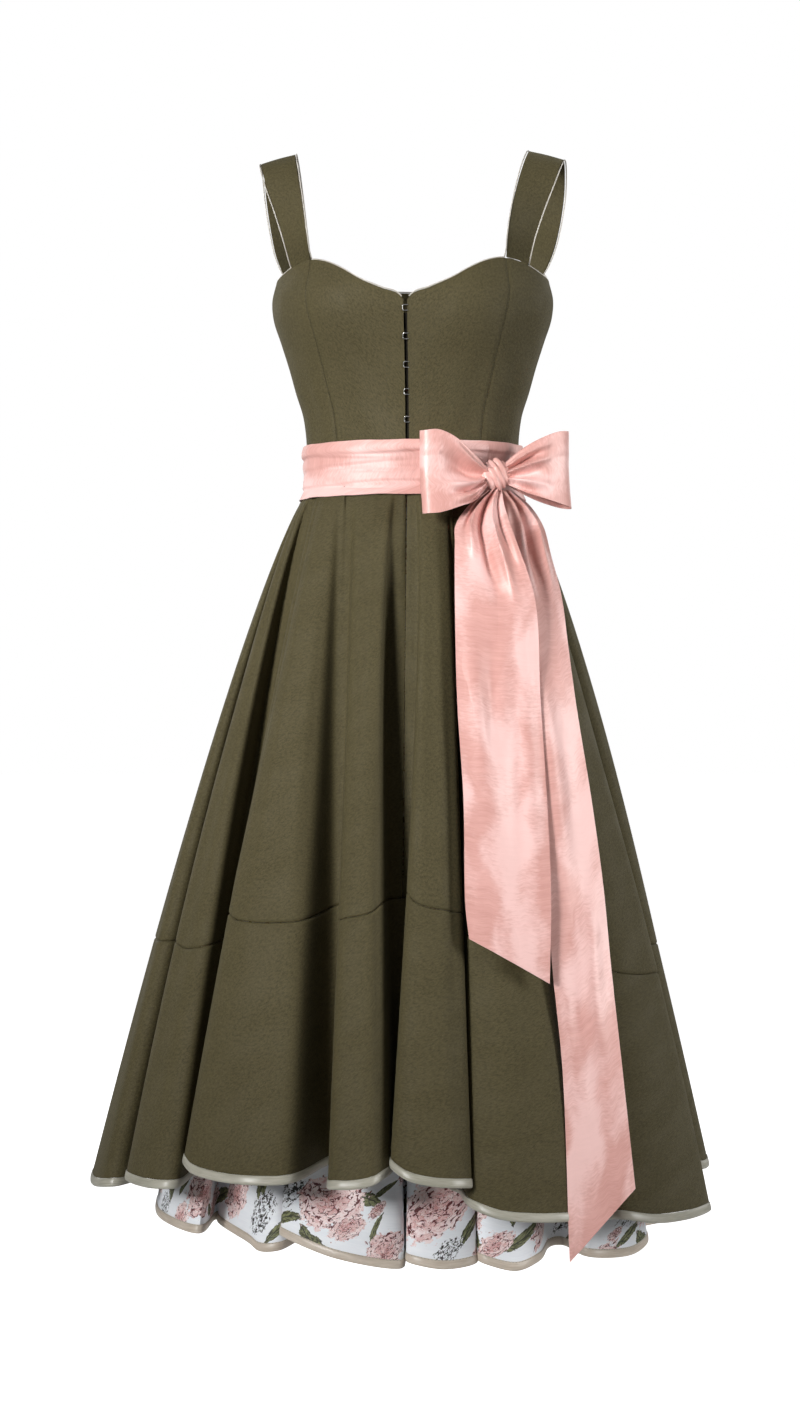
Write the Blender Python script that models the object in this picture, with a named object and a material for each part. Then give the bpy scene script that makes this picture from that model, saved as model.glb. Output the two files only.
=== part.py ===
"""Dirndl dress, modelled as it is worn: each cut piece is a thin closed wall on the garment's form.

+X points to the wearer's left, the front faces -Y and +Z is up. The origin lies midway between
the two shoulder straps, level with the underside of their highest points.
"""
import math
from collections import namedtuple

import bmesh
import bpy
import numpy as np

# Walls and seams
TWILL = 0.0018
PRINT_CLOTH = 0.0013
SATIN = 0.0013
SEAM = 0.0003
PIPING_RADIUS = 0.0010
PIPING_SIDES = 5
CORNER_STRETCH = 1.25
FOLD_MITRE = 0.55
BINDING_PROUD = 0.0005
SHARP_ANGLE = 50.0

# Heights
WAIST_Z = -0.355
HEM_BINDING = 0.009
UNDERSKIRT_TOP_Z = -0.3585

# Bodice: outer half width, front depth and back depth at each height
TorsoRing = namedtuple("TorsoRing", "z half_width front back")
TORSO = [
    TorsoRing(-0.355, 0.1170, 0.0880, 0.0880),
    TorsoRing(-0.306, 0.1175, 0.0890, 0.0885),
    TorsoRing(-0.286, 0.1205, 0.0915, 0.0900),
    TorsoRing(-0.262, 0.1280, 0.0960, 0.0930),
    TorsoRing(-0.235, 0.1355, 0.1025, 0.0960),
    TorsoRing(-0.205, 0.1450, 0.1110, 0.0990),
    TorsoRing(-0.180, 0.1530, 0.1160, 0.1010),
    TorsoRing(-0.160, 0.1545, 0.1150, 0.1010),
    TorsoRing(-0.140, 0.1500, 0.1080, 0.1000),
    TorsoRing(-0.115, 0.1450, 0.0980, 0.0980),
]
BUST_RISE = 0.013
BUST_ANGLE = 31.0
BUST_SPREAD = 15.0
BUST_Z = -0.182
BUST_HEIGHT = 0.040

# Height of the bodice's upper edge, by angle from the centre front
EdgePoint = namedtuple("EdgePoint", "angle z")
UPPER_EDGE = [
    EdgePoint(0.0, -0.1775),
    EdgePoint(2.5, -0.1700),
    EdgePoint(9.0, -0.1630),
    EdgePoint(19.0, -0.1515),
    EdgePoint(27.0, -0.1395),
    EdgePoint(36.0, -0.1295),
    EdgePoint(46.0, -0.1250),
    EdgePoint(53.0, -0.1265),
    EdgePoint(60.0, -0.1300),
    EdgePoint(70.0, -0.1355),
    EdgePoint(80.0, -0.1385),
    EdgePoint(92.0, -0.1380),
    EdgePoint(102.0, -0.1280),
    EdgePoint(115.0, -0.1190),
    EdgePoint(128.0, -0.1180),
    EdgePoint(140.0, -0.1240),
    EdgePoint(153.0, -0.1300),
    EdgePoint(167.0, -0.1340),
    EdgePoint(180.0, -0.1350),
]
FRONT_GAP_HALF = 0.0018
FRONT_EDGE_ANGLE = 1.0
PRINCESS_TOP = 46.0
PRINCESS_WAIST = 41.5
SIDE_ANGLE = 92.0
BACK_SEAM_ANGLE = 140.0
FRONT_ANGLES = [9.0, 19.0, 27.0, 36.0]
SIDE_FRONT_ANGLES = [53.0, 60.0, 70.0, 80.0]
SIDE_BACK_ANGLES = [102.0, 115.0, 128.0]
BACK_ANGLES = [153.0, 167.0, 180.0, 193.0, 207.0]
UNDERLAP_ANGLE = 4.0
UNDERLAP_TOP_SHARE = 0.915
UNDERLAP_GAP = 0.0010
UNDERLAP_ACROSS = (-1.0, -0.5, 0.0, 0.5, 1.0)
BODICE_SHARES = [0.0, 0.15, 0.30, 0.45, 0.58, 0.70, 0.80, 0.90, 1.0]

# Shoulder straps: inner and outer edge at each section, front to back, for the wearer's left one
StrapSection = namedtuple("StrapSection", "inner_x inner_y inner_z outer_x outer_y outer_z")
STRAP = [
    StrapSection(0.1080, -0.0890, -0.1000, 0.1345, -0.0620, -0.1040),
    StrapSection(0.1125, -0.0820, -0.0700, 0.1435, -0.0580, -0.0750),
    StrapSection(0.1195, -0.0620, -0.0340, 0.1560, -0.0490, -0.0400),
    StrapSection(0.1255, -0.0350, -0.0090, 0.1635, -0.0310, -0.0170),
    StrapSection(0.1290, -0.0020, 0.0030, 0.1665, -0.0020, -0.0070),
    StrapSection(0.1295, 0.0300, -0.0060, 0.1675, 0.0240, -0.0150),
    StrapSection(0.1280, 0.0540, -0.0310, 0.1665, 0.0380, -0.0400),
    StrapSection(0.1245, 0.0660, -0.0680, 0.1610, 0.0370, -0.0760),
    StrapSection(0.1200, 0.0660, -0.1000, 0.1535, 0.0270, -0.1060),
]
STRAP_CROWN = 0.0006
STRAP_FRONT_ANGLES = [46.0, 53.0, 60.0]
STRAP_BACK_ANGLES = [128.0, 115.0, 102.0]

# Skirt folds, from the wearer's right side round the front to the back. Angles are from the centre
# front. Each row: the ridge's angle, half width and reach at the hem, the hem's height at the
# fold's two edges and ridge, then the hollow after it and where that hollow starts at the waist.
# Open is the hollow's half width at its foot, gape how far its edges part half way down the
# skirt, and flounce the height of the lower tier.
Fold = namedtuple("Fold", "crest half reach left_hem hem right_hem hollow hollow_reach hollow_hem waist "
                  "open gape flounce")
FOLDS = [
    Fold(-77.0, 11.5, 0.350, -1.117, -1.119, -1.112, -71.0, 0.282, -1.108, -84.0, 0.003, 0.003, 0.261),
    Fold(-53.0, 8.0, 0.338, -1.098, -1.099, -1.097, -52.0, 0.268, -1.094, -62.0, 0.005, 0.005, 0.240),
    Fold(-30.5, 11.5, 0.337, -1.069, -1.079, -1.078, -14.3, 0.242, -1.067, -34.0, 0.009, 0.001, 0.253),
    Fold(-6.3, 5.2, 0.330, -1.081, -1.078, -1.068, 0.9, 0.242, -1.066, 0.0, 0.004, 0.004, 0.262),
    Fold(6.9, 6.9, 0.332, -1.059, -1.074, -1.079, 12.5, 0.242, -1.094, 20.0, 0.004, 0.004, 0.266),
    Fold(25.2, 9.6, 0.338, -1.100, -1.112, -1.118, 45.0, 0.270, -1.137, 47.0, 0.008, 0.003, 0.262),
    Fold(58.0, 15.0, 0.344, -1.120, -1.131, -1.135, 78.0, 0.262, -1.118, 79.0, 0.004, 0.002, 0.247),
    Fold(89.0, 7.5, 0.322, -1.104, -1.104, -1.106, 99.5, 0.250, -1.112, 100.0, 0.004, 0.003, 0.240),
    Fold(111.0, 8.5, 0.336, -1.115, -1.119, -1.120, 122.5, 0.248, -1.121, 122.0, 0.004, 0.003, 0.252),
    Fold(134.0, 9.0, 0.340, -1.120, -1.125, -1.124, 146.0, 0.252, -1.125, 145.0, 0.005, 0.003, 0.256),
    Fold(157.0, 8.5, 0.344, -1.125, -1.127, -1.124, 169.0, 0.246, -1.126, 168.0, 0.004, 0.003, 0.258),
    Fold(180.0, 8.5, 0.340, -1.126, -1.129, -1.127, 191.0, 0.250, -1.127, 192.0, 0.004, 0.003, 0.260),
    Fold(203.0, 9.0, 0.345, -1.125, -1.128, -1.125, 215.5, 0.248, -1.126, 215.0, 0.005, 0.003, 0.260),
    Fold(228.5, 9.5, 0.342, -1.124, -1.126, -1.122, 241.0, 0.252, -1.124, 238.0, 0.004, 0.003, 0.258),
    Fold(254.0, 9.0, 0.340, -1.120, -1.123, -1.120, 266.5, 0.256, -1.118, 258.0, 0.004, 0.003, 0.260),
]
FRONT_SEAM_FOLD = 4
SIDE_SEAM_FOLD = 8
WAIST_HALF_WIDTH = 0.1175
WAIST_DEPTH = 0.0885
MEAN_REACH = 0.292
FLARE_POWER = 0.77
FOLD_POWER = 0.92
# The pleats are stitched flat under the sash, for this share of the skirt's height.
STITCHED_SHARE = 0.028
UPPER_SHARES = [0.0, 0.044, 0.10, 0.20, 0.40, 0.68, 1.0]

# Underskirt, which has folds of its own and no lower tier
UNDER_WAIST_INSET = 0.0028
UNDER_MEAN_REACH = 0.277
UNDER_SHARES = [0.0, 0.03, 0.14, 0.42, 0.72]
UNDER_FOLDS = [
    Fold(-71.0, 19.0, 0.281, -1.149, -1.153, -1.155, -62.3, 0.226, -1.152, -70.0, 0.003, 0.001, 0.0),
    Fold(-36.0, 4.5, 0.245, -1.161, -1.166, -1.164, -29.5, 0.212, -1.157, -46.0, 0.003, 0.001, 0.0),
    Fold(-14.3, 15.1, 0.254, -1.146, -1.162, -1.172, 1.8, 0.205, -1.165, 1.0, 0.003, 0.001, 0.0),
    Fold(10.9, 7.9, 0.254, -1.166, -1.171, -1.168, 19.6, 0.208, -1.163, 24.0, 0.003, 0.001, 0.0),
    Fold(27.0, 6.8, 0.262, -1.167, -1.175, -1.170, 45.0, 0.222, -1.164, 54.0, 0.012, 0.001, 0.0),
    Fold(59.0, 12.5, 0.276, -1.170, -1.176, -1.170, 76.0, 0.235, -1.166, 78.0, 0.004, 0.001, 0.0),
    Fold(89.0, 5.5, 0.268, -1.166, -1.168, -1.166, 99.5, 0.235, -1.165, 100.0, 0.003, 0.001, 0.0),
    Fold(111.0, 6.2, 0.277, -1.166, -1.169, -1.167, 122.5, 0.233, -1.165, 122.0, 0.003, 0.001, 0.0),
    Fold(134.0, 6.5, 0.280, -1.167, -1.170, -1.168, 146.0, 0.237, -1.166, 145.0, 0.003, 0.001, 0.0),
    Fold(157.0, 6.2, 0.279, -1.168, -1.170, -1.168, 169.0, 0.231, -1.166, 168.0, 0.003, 0.001, 0.0),
    Fold(180.0, 6.2, 0.280, -1.168, -1.171, -1.169, 191.0, 0.235, -1.167, 192.0, 0.003, 0.001, 0.0),
    Fold(203.0, 6.5, 0.281, -1.168, -1.170, -1.168, 215.5, 0.233, -1.166, 215.0, 0.003, 0.001, 0.0),
    Fold(228.5, 6.9, 0.281, -1.166, -1.168, -1.166, 241.0, 0.237, -1.164, 238.0, 0.003, 0.001, 0.0),
    Fold(254.0, 6.5, 0.281, -1.162, -1.164, -1.160, 267.5, 0.240, -1.156, 264.0, 0.003, 0.001, 0.0),
]

# Points round one fold: share of the way between its hollows, its side of the ridge, the part
# of the fold that it lies on, its share of the fold's depth, how far its hem has gone from the
# hollow's height to the edge's and from there to the ridge's, and its share of the gape
RingPoint = namedtuple("RingPoint", "share side part depth_share to_edge to_ridge gape_share")
FOLD_POINTS = [
    RingPoint(0.00, -1, "hollow", 0.00, 0.0, 0.0, 0.0),
    RingPoint(0.09, -1, "hollow side", 0.07, 0.2, 0.0, 1.0),
    RingPoint(0.24, -1, "edge", 0.80, 1.0, 0.0, 1.0),
    RingPoint(0.37, -1, "shoulder", 0.97, 1.0, 0.6, 0.4),
    RingPoint(0.50, 0, "ridge", 1.00, 1.0, 1.0, 0.0),
    RingPoint(0.63, 1, "shoulder", 0.97, 1.0, 0.6, 0.4),
    RingPoint(0.76, 1, "edge", 0.80, 1.0, 0.0, 1.0),
    RingPoint(0.91, 1, "hollow side", 0.07, 0.2, 0.0, 1.0),
]
GAPE_POWER = 0.6
SHOULDER_SHARE = 0.62
POINTS_PER_FOLD = len(FOLD_POINTS)

# Sash: waist band rings from its upper to its lower edge, lying outside bodice and skirt
SashRing = namedtuple("SashRing", "z half_width front back")
SASH = [
    SashRing(-0.3205, 0.1194, 0.0908, 0.0905),
    SashRing(-0.3290, 0.1212, 0.0928, 0.0922),
    SashRing(-0.3430, 0.1196, 0.0911, 0.0908),
    SashRing(-0.3600, 0.1200, 0.0916, 0.0912),
    SashRing(-0.3710, 0.1216, 0.0936, 0.0932),
    SashRing(-0.3790, 0.1244, 0.0972, 0.0968),
]
SASH_COLUMNS = 48

# Bow: the knot's centre, the turn of the bow's plane, and the loops' outline away from the knot
KNOT = (0.0945, -0.0920, -0.3590)
KNOT_SIZE = (0.0110, 0.0090, 0.0165)
KNOT_SEGMENTS = 12
KNOT_RINGS = 8
# Two folds of cloth pull the knot in: how much, at which height and how far up and down.
KNOT_PINCH = 0.10
KNOT_PINCH_HEIGHT = 0.15
KNOT_PINCH_SPREAD = 0.18
BOW_TURN = 22.0
BOW_LEAN = 0.22
LOOP_ACROSS = (0.0, 0.33, 0.67, 1.0)
LoopSection = namedtuple("LoopSection", "away out top bottom")
LOOP_TO_RIGHT_SIDE = [
    LoopSection(0.0103, 0.0030, 0.006, -0.011),
    LoopSection(0.0300, 0.0120, 0.021, -0.029),
    LoopSection(0.0500, 0.0150, 0.037, -0.037),
    LoopSection(0.0680, 0.0120, 0.045, -0.043),
    LoopSection(0.0800, 0.0050, 0.044, -0.044),
    LoopSection(0.0830, -0.0010, 0.044, -0.044),
    LoopSection(0.0790, -0.0055, 0.043, -0.043),
    LoopSection(0.0660, -0.0070, 0.041, -0.040),
    LoopSection(0.0480, -0.0070, 0.034, -0.034),
    LoopSection(0.0290, -0.0050, 0.019, -0.026),
    LoopSection(0.0103, -0.0028, 0.006, -0.010),
]
LOOP_TO_LEFT_SIDE = [
    LoopSection(0.0103, 0.0030, 0.013, -0.009),
    LoopSection(0.0300, 0.0120, 0.030, -0.019),
    LoopSection(0.0500, 0.0150, 0.041, -0.026),
    LoopSection(0.0660, 0.0120, 0.047, -0.031),
    LoopSection(0.0770, 0.0050, 0.048, -0.034),
    LoopSection(0.0800, -0.0010, 0.048, -0.035),
    LoopSection(0.0760, -0.0055, 0.047, -0.034),
    LoopSection(0.0640, -0.0070, 0.045, -0.031),
    LoopSection(0.0480, -0.0070, 0.038, -0.026),
    LoopSection(0.0290, -0.0050, 0.027, -0.018),
    LoopSection(0.0103, -0.0028, 0.012, -0.008),
]

# Tails of the sash: the two edges of each section, from the knot down
TailSection = namedtuple("TailSection", "left_x left_y left_z right_x right_y right_z")
TAIL_ACROSS = (0.0, 0.25, 0.5, 0.75, 1.0)
FRONT_TAIL = [
    TailSection(0.0840, -0.0990, -0.3765, 0.1010, -0.0910, -0.3765),
    TailSection(0.0700, -0.1060, -0.3890, 0.1030, -0.0975, -0.3890),
    TailSection(0.0535, -0.1210, -0.4140, 0.1105, -0.1140, -0.4140),
    TailSection(0.0530, -0.1310, -0.4350, 0.1180, -0.1230, -0.4340),
    TailSection(0.0540, -0.1530, -0.4940, 0.1370, -0.1420, -0.4930),
    TailSection(0.0580, -0.1900, -0.5990, 0.1440, -0.1750, -0.5990),
    TailSection(0.0660, -0.2210, -0.7010, 0.1510, -0.2050, -0.7010),
    TailSection(0.0690, -0.2500, -0.8000, 0.1550, -0.2340, -0.8010),
    TailSection(0.0735, -0.2610, -0.8380, 0.1540, -0.2550, -0.8830),
]
SIDE_TAIL = [
    TailSection(0.0965, -0.0908, -0.3760, 0.1105, -0.0800, -0.3745),
    TailSection(0.0985, -0.0880, -0.3900, 0.1300, -0.0640, -0.3900),
    TailSection(0.0960, -0.0985, -0.4120, 0.1430, -0.0520, -0.4100),
    TailSection(0.0970, -0.1170, -0.4470, 0.1530, -0.0700, -0.4460),
    TailSection(0.1080, -0.1330, -0.4900, 0.1640, -0.0860, -0.4890),
    TailSection(0.1150, -0.1500, -0.5450, 0.1715, -0.1060, -0.5450),
    TailSection(0.1255, -0.1430, -0.5990, 0.1790, -0.1270, -0.5990),
    TailSection(0.1390, -0.1670, -0.7020, 0.1960, -0.1570, -0.7030),
    TailSection(0.1490, -0.1950, -0.7850, 0.2070, -0.1830, -0.7850),
    TailSection(0.1560, -0.2240, -0.8670, 0.2150, -0.2110, -0.8670),
    TailSection(0.1670, -0.2580, -0.9750, 0.2270, -0.2400, -0.9750),
    TailSection(0.1740, -0.3012, -1.1520, 0.2390, -0.2750, -1.0830),
]

# Colours, roughness of the finishes
Finish = namedtuple("Finish", "colour roughness metallic")
OLIVE_TWILL = Finish((0.060, 0.060, 0.030, 1.0), 0.85, 0.0)
DARK_FACING = Finish((0.012, 0.010, 0.008, 1.0), 0.90, 0.0)
FLORAL_PRINT = Finish((0.72, 0.74, 0.76, 1.0), 0.75, 0.0)
PINK_SATIN = Finish((0.75, 0.38, 0.36, 1.0), 0.35, 0.0)
SILVER_BINDING = Finish((0.55, 0.53, 0.48, 1.0), 0.40, 0.0)
PIPING_CORD = Finish((0.75, 0.70, 0.66, 1.0), 0.50, 0.0)
HOOK_STEEL = Finish((0.60, 0.60, 0.60, 1.0), 0.30, 1.0)

HOOK_HEIGHTS = [-0.184, -0.213, -0.242, -0.270, -0.299]
HOOK_HALF_WIDTH = 0.0029
HOOK_HALF_HEIGHT = 0.0029
HOOK_WIRE = 0.0005
HOOK_SIDES = 4
HOOK_OUTLINE = [(1.0, 1.0), (-0.6, 1.0), (-1.0, 0.55), (-1.0, -0.55), (-0.6, -1.0), (1.0, -1.0)]


def clear_scene():
    for old in list(bpy.data.objects):
        bpy.data.objects.remove(old, do_unlink=True)


def material_for(name, finish):
    material = bpy.data.materials.new(name)
    material.use_nodes = True
    shader = material.node_tree.nodes["Principled BSDF"]
    shader.inputs["Base Color"].default_value = finish.colour
    shader.inputs["Roughness"].default_value = finish.roughness
    shader.inputs["Metallic"].default_value = finish.metallic
    return material


def add_solid(name, points, faces, finish):
    """Make one object from points and faces, with its faces turned outwards."""
    mesh = bpy.data.meshes.new(name)
    mesh.from_pydata([tuple(point) for point in points], [], faces)
    body = bmesh.new()
    body.from_mesh(mesh)
    bmesh.ops.recalc_face_normals(body, faces=body.faces)
    body.to_mesh(mesh)
    body.free()
    mesh.shade_smooth()
    mesh.set_sharp_from_angle(angle=math.radians(SHARP_ANGLE))
    mesh.materials.append(material_for(name + "_finish", finish))
    solid = bpy.data.objects.new(name, mesh)
    bpy.context.scene.collection.objects.link(solid)
    return solid


# Grids of points: rows run along the cloth, columns across it


def directions(grid, axis, around):
    """Mean direction along one axis of a grid at each point, and how much the line turns there."""
    following = np.roll(grid, -1, axis=axis) - grid
    following /= np.linalg.norm(following, axis=2, keepdims=True)
    leading = np.roll(following, 1, axis=axis)
    if not around:
        ends = [slice(None)] * 3
        ends[axis] = 0
        starts = tuple(ends)
        ends[axis] = -1
        leading[starts] = following[starts]
        following[tuple(ends)] = leading[tuple(ends)]
    mean = (following + leading) / 2.0
    straightness = np.linalg.norm(mean, axis=2, keepdims=True)
    return mean / straightness, straightness


def moved_out(grid, distance, around):
    """Move a surface along its normals, further at sharp folds so that the wall keeps its thickness."""
    across, straightness = directions(grid, 1, around)
    along, _ = directions(grid, 0, False)
    normals = np.cross(across, along)
    normals /= np.linalg.norm(normals, axis=2, keepdims=True)
    return grid + distance * normals / np.maximum(straightness, FOLD_MITRE)


def trimmed(grid, gap):
    """Pull all four edges of an open grid in by half a seam gap."""
    grid = grid.copy()
    for _ in range(2):
        for edge, inner in ((0, 1), (-1, -2)):
            step = grid[inner] - grid[edge]
            length = np.linalg.norm(step, axis=1, keepdims=True)
            grid[edge] += step * (gap / 2.0) / length
        grid = grid.transpose(1, 0, 2)
    return grid


def split_quads(rows, columns, around, offset):
    """Triangles of one side of a grid, every cell split along the same diagonal."""
    faces = []
    last = columns if around else columns - 1
    for row in range(rows - 1):
        for column in range(last):
            near = column
            far = (column + 1) % columns
            a = offset + row * columns + near
            b = offset + row * columns + far
            c = offset + (row + 1) * columns + far
            d = offset + (row + 1) * columns + near
            faces += [(a, b, c), (a, c, d)]
    return faces


def rim_faces(pairs, offset):
    """Join neighbouring outer points to the inner points behind them.

    Each pair runs the same way on both sides of a seam, so that facing rims match.
    """
    faces = []
    for a, b in pairs:
        faces += [(a, b, b + offset), (a, b + offset, a + offset)]
    return faces


def wall(name, outer, inner, finish, around=False):
    """A closed solid between two grids that match point for point."""
    rows, columns = outer.shape[:2]
    count = rows * columns
    points = np.concatenate([outer.reshape(-1, 3), inner.reshape(-1, 3)])
    faces = split_quads(rows, columns, around, 0)
    faces += [face[::-1] for face in split_quads(rows, columns, around, count)]
    top = list(range(columns))
    bottom = [(rows - 1) * columns + column for column in range(columns)]
    edges = [top, bottom]
    if not around:
        edges.append([row * columns for row in range(rows)])
        edges.append([row * columns + columns - 1 for row in range(rows)])
    for edge in edges:
        pairs = list(zip(edge[:-1], edge[1:]))
        if around:
            pairs.append((edge[-1], edge[0]))
        faces += rim_faces(pairs, count)
    return add_solid(name, points, faces, finish)


def panel(name, outer, inner, columns, finish):
    """A piece cut from a surface: the columns it covers, with a seam gap all round."""
    piece_outer = trimmed(outer[:, columns], SEAM)
    piece_inner = trimmed(inner[:, columns], SEAM)
    return wall(name, piece_outer, piece_inner, finish)


def tube(name, path, radius, sides, finish, closed):
    """A round cord along a path, with flat ends unless it is closed."""
    path = np.asarray(path)
    count = len(path)
    if closed:
        along = np.roll(path, -1, axis=0) - np.roll(path, 1, axis=0)
    else:
        along = np.gradient(path, axis=0)
    along /= np.linalg.norm(along, axis=1, keepdims=True)
    side = np.cross(along[0], (0.0, 1.0, 0.0))
    points = []
    for centre, direction in zip(path, along):
        side = side - direction * np.dot(side, direction)
        side /= np.linalg.norm(side)
        lift = np.cross(direction, side)
        for step in range(sides):
            turn = 2.0 * math.pi * (step + 0.5) / sides
            points.append(centre + radius * (math.cos(turn) * side + math.sin(turn) * lift))
    faces = []
    last = count if closed else count - 1
    # A closed cord's frame has turned on its way round, so its last ring joins the first
    # at the nearest point.
    twist = 0
    if closed:
        ends = np.asarray(points[-sides:])
        distances = [np.linalg.norm(ends - np.roll(points[:sides], -step, axis=0)) for step in range(sides)]
        twist = int(np.argmin(distances))
    for ring in range(last):
        following = (ring + 1) % count
        shift = twist if closed and ring == count - 1 else 0
        for step in range(sides):
            a = ring * sides + step
            b = ring * sides + (step + 1) % sides
            c = following * sides + (step + 1 + shift) % sides
            d = following * sides + (step + shift) % sides
            faces += [(a, b, c), (a, c, d)]
    if not closed:
        faces.append(tuple(range(sides))[::-1])
        faces.append(tuple(range(len(points) - sides, len(points))))
    return add_solid(name, points, faces, finish)


def smooth_between(xs, ys, x):
    """Cubic curve through (xs, ys) read at x, with level ends."""
    slopes = np.gradient(ys, xs)
    index = int(np.clip(np.searchsorted(xs, x) - 1, 0, len(xs) - 2))
    width = xs[index + 1] - xs[index]
    t = min(max((x - xs[index]) / width, 0.0), 1.0)
    a = (1.0 + 2.0 * t) * (1.0 - t) ** 2
    b = t * (1.0 - t) ** 2 * width
    c = t * t * (3.0 - 2.0 * t)
    d = t * t * (t - 1.0) * width
    return a * ys[index] + b * slopes[index] + c * ys[index + 1] + d * slopes[index + 1]


# Bodice

TORSO_Z = np.array([ring.z for ring in TORSO])
TORSO_SIZES = np.array([ring[1:] for ring in TORSO])
EDGE_ANGLES = np.array([point.angle for point in UPPER_EDGE])
EDGE_Z = np.array([point.z for point in UPPER_EDGE])


def torso_point(angle, z):
    """Outer point of the bodice at an angle from the centre front and a height."""
    half_width, front, back = (smooth_between(TORSO_Z, TORSO_SIZES[:, side], z) for side in range(3))
    turn = math.radians(angle)
    x = half_width * math.sin(turn)
    y = -(front if math.cos(turn) > 0.0 else back) * math.cos(turn)
    off_centre = (abs(angle) - BUST_ANGLE) / BUST_SPREAD
    off_height = (z - BUST_Z) / BUST_HEIGHT
    y -= BUST_RISE * math.exp(-0.5 * off_centre ** 2 - 0.5 * off_height ** 2)
    return np.array([x, y, z])


def upper_edge_z(angle):
    return smooth_between(EDGE_ANGLES, EDGE_Z, abs(angle if angle <= 180.0 else 360.0 - angle))


def princess_angle(share):
    return PRINCESS_WAIST + (PRINCESS_TOP - PRINCESS_WAIST) * share


def bodice_column(angle_at):
    """Points up one column; angle_at gives its angle at each share of the height."""
    column = []
    top = upper_edge_z(angle_at(1.0))
    for share in BODICE_SHARES:
        column.append(torso_point(angle_at(share), WAIST_Z + share * (top - WAIST_Z)))
    return column


def fixed_angle(angle):
    return lambda share: angle


def front_edge_column():
    """The centre front edge stands a fixed distance from the middle."""
    column = np.array(bodice_column(fixed_angle(FRONT_EDGE_ANGLE)))
    column[:, 0] = FRONT_GAP_HALF
    return column


def squeezed_angle(angle):
    """Columns between the front edge and the princess seam spread with the seam."""
    return lambda share: angle * princess_angle(share) / PRINCESS_TOP


def bodice_half():
    """Columns of the wearer's left half, front edge to back seam, then the seams' column numbers."""
    columns = [front_edge_column()]
    columns += [bodice_column(squeezed_angle(angle)) for angle in FRONT_ANGLES]
    princess = len(columns)
    columns.append(bodice_column(princess_angle))
    columns += [bodice_column(fixed_angle(angle)) for angle in SIDE_FRONT_ANGLES]
    side = len(columns)
    columns.append(bodice_column(fixed_angle(SIDE_ANGLE)))
    columns += [bodice_column(fixed_angle(angle)) for angle in SIDE_BACK_ANGLES]
    back = len(columns)
    columns.append(bodice_column(fixed_angle(BACK_SEAM_ANGLE)))
    return columns, princess, side, back


def bodice_surface():
    """The whole bodice from the left front edge round the back to the right front edge."""
    half, princess, side, back = bodice_half()
    middle = [bodice_column(fixed_angle(angle)) for angle in BACK_ANGLES]
    mirror = np.array([-1.0, 1.0, 1.0])
    other_half = [np.array(column) * mirror for column in half[::-1]]
    columns = [np.array(column) for column in half + middle] + other_half
    surface = np.array(columns).transpose(1, 0, 2)
    return surface, (princess, side, back)


def make_bodice():
    outer, cuts = bodice_surface()
    princess, side, back = cuts
    inner = moved_out(outer, -TWILL, around=False)
    last = outer.shape[1] - 1
    pieces = {
        "bodice_front_left": (0, princess),
        "bodice_side_front_left": (princess, side),
        "bodice_side_back_left": (side, back),
        "bodice_back": (back, last - back),
        "bodice_side_back_right": (last - back, last - side),
        "bodice_side_front_right": (last - side, last - princess),
        "bodice_front_right": (last - princess, last),
    }
    for name, (start, end) in pieces.items():
        panel(name, outer, inner, range(start, end + 1), OLIVE_TWILL)
    return outer, cuts


def make_front_underlap():
    """The strip behind the open front edges, carried by the wearer's left one."""
    top = upper_edge_z(FRONT_EDGE_ANGLE)
    rows = []
    for share in BODICE_SHARES[:-1] + [UNDERLAP_TOP_SHARE]:
        z = WAIST_Z + share * (top - WAIST_Z)
        row = []
        for across in UNDERLAP_ACROSS:
            point = torso_point(UNDERLAP_ANGLE * abs(across), z)
            point[0] *= math.copysign(1.0, across)
            row.append(point)
        rows.append(row)
    face = np.array(rows)
    outer = moved_out(face, -TWILL - UNDERLAP_GAP, around=False)
    inner = moved_out(face, -2.0 * TWILL - UNDERLAP_GAP, around=False)
    wall("front_underlap", outer, inner, DARK_FACING)


# Shoulder straps


def strap_grid(side):
    """Three columns from the bodice's front edge over the shoulder to its back edge."""
    front = [torso_point(angle, upper_edge_z(angle)) for angle in STRAP_FRONT_ANGLES]
    back = [torso_point(angle, upper_edge_z(angle)) for angle in STRAP_BACK_ANGLES]
    rows = [front]
    for section in STRAP:
        inner = np.array([section.inner_x, section.inner_y, section.inner_z])
        outer = np.array([section.outer_x, section.outer_y, section.outer_z])
        middle = (inner + outer) / 2.0 + np.array([0.0, 0.0, STRAP_CROWN])
        rows.append([inner, middle, outer])
    rows.append(back)
    grid = np.array(rows)
    grid[:, :, 0] *= side
    return grid


def make_strap(name, side):
    outer = strap_grid(side)
    inner = moved_out(outer, -side * TWILL, around=False)
    inner[0] = outer[0] + (inner[0] - outer[0]) * np.array([1.0, 1.0, 0.0])
    inner[-1] = outer[-1] + (inner[-1] - outer[-1]) * np.array([1.0, 1.0, 0.0])
    wall(name, trimmed(outer, 2.0 * SEAM), trimmed(inner, 2.0 * SEAM), OLIVE_TWILL)
    return outer


# Skirt


def polar(angle, reach):
    turn = math.radians(angle)
    return np.array([reach * math.sin(turn), -reach * math.cos(turn)])


def mix(start, end, share):
    return start + (end - start) * share


RingColumn = namedtuple("RingColumn", "waist mean hem hem_z gape flounce")


def fold_angle(point, fold, hollow, opening, reach):
    """Angle of one point of a fold at the hem."""
    if point.part == "hollow":
        return hollow
    if point.part == "hollow side":
        return hollow - point.side * math.degrees(opening / reach)
    if point.part == "edge":
        return fold.crest + point.side * fold.half
    return fold.crest + point.side * fold.half * SHOULDER_SHARE


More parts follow.
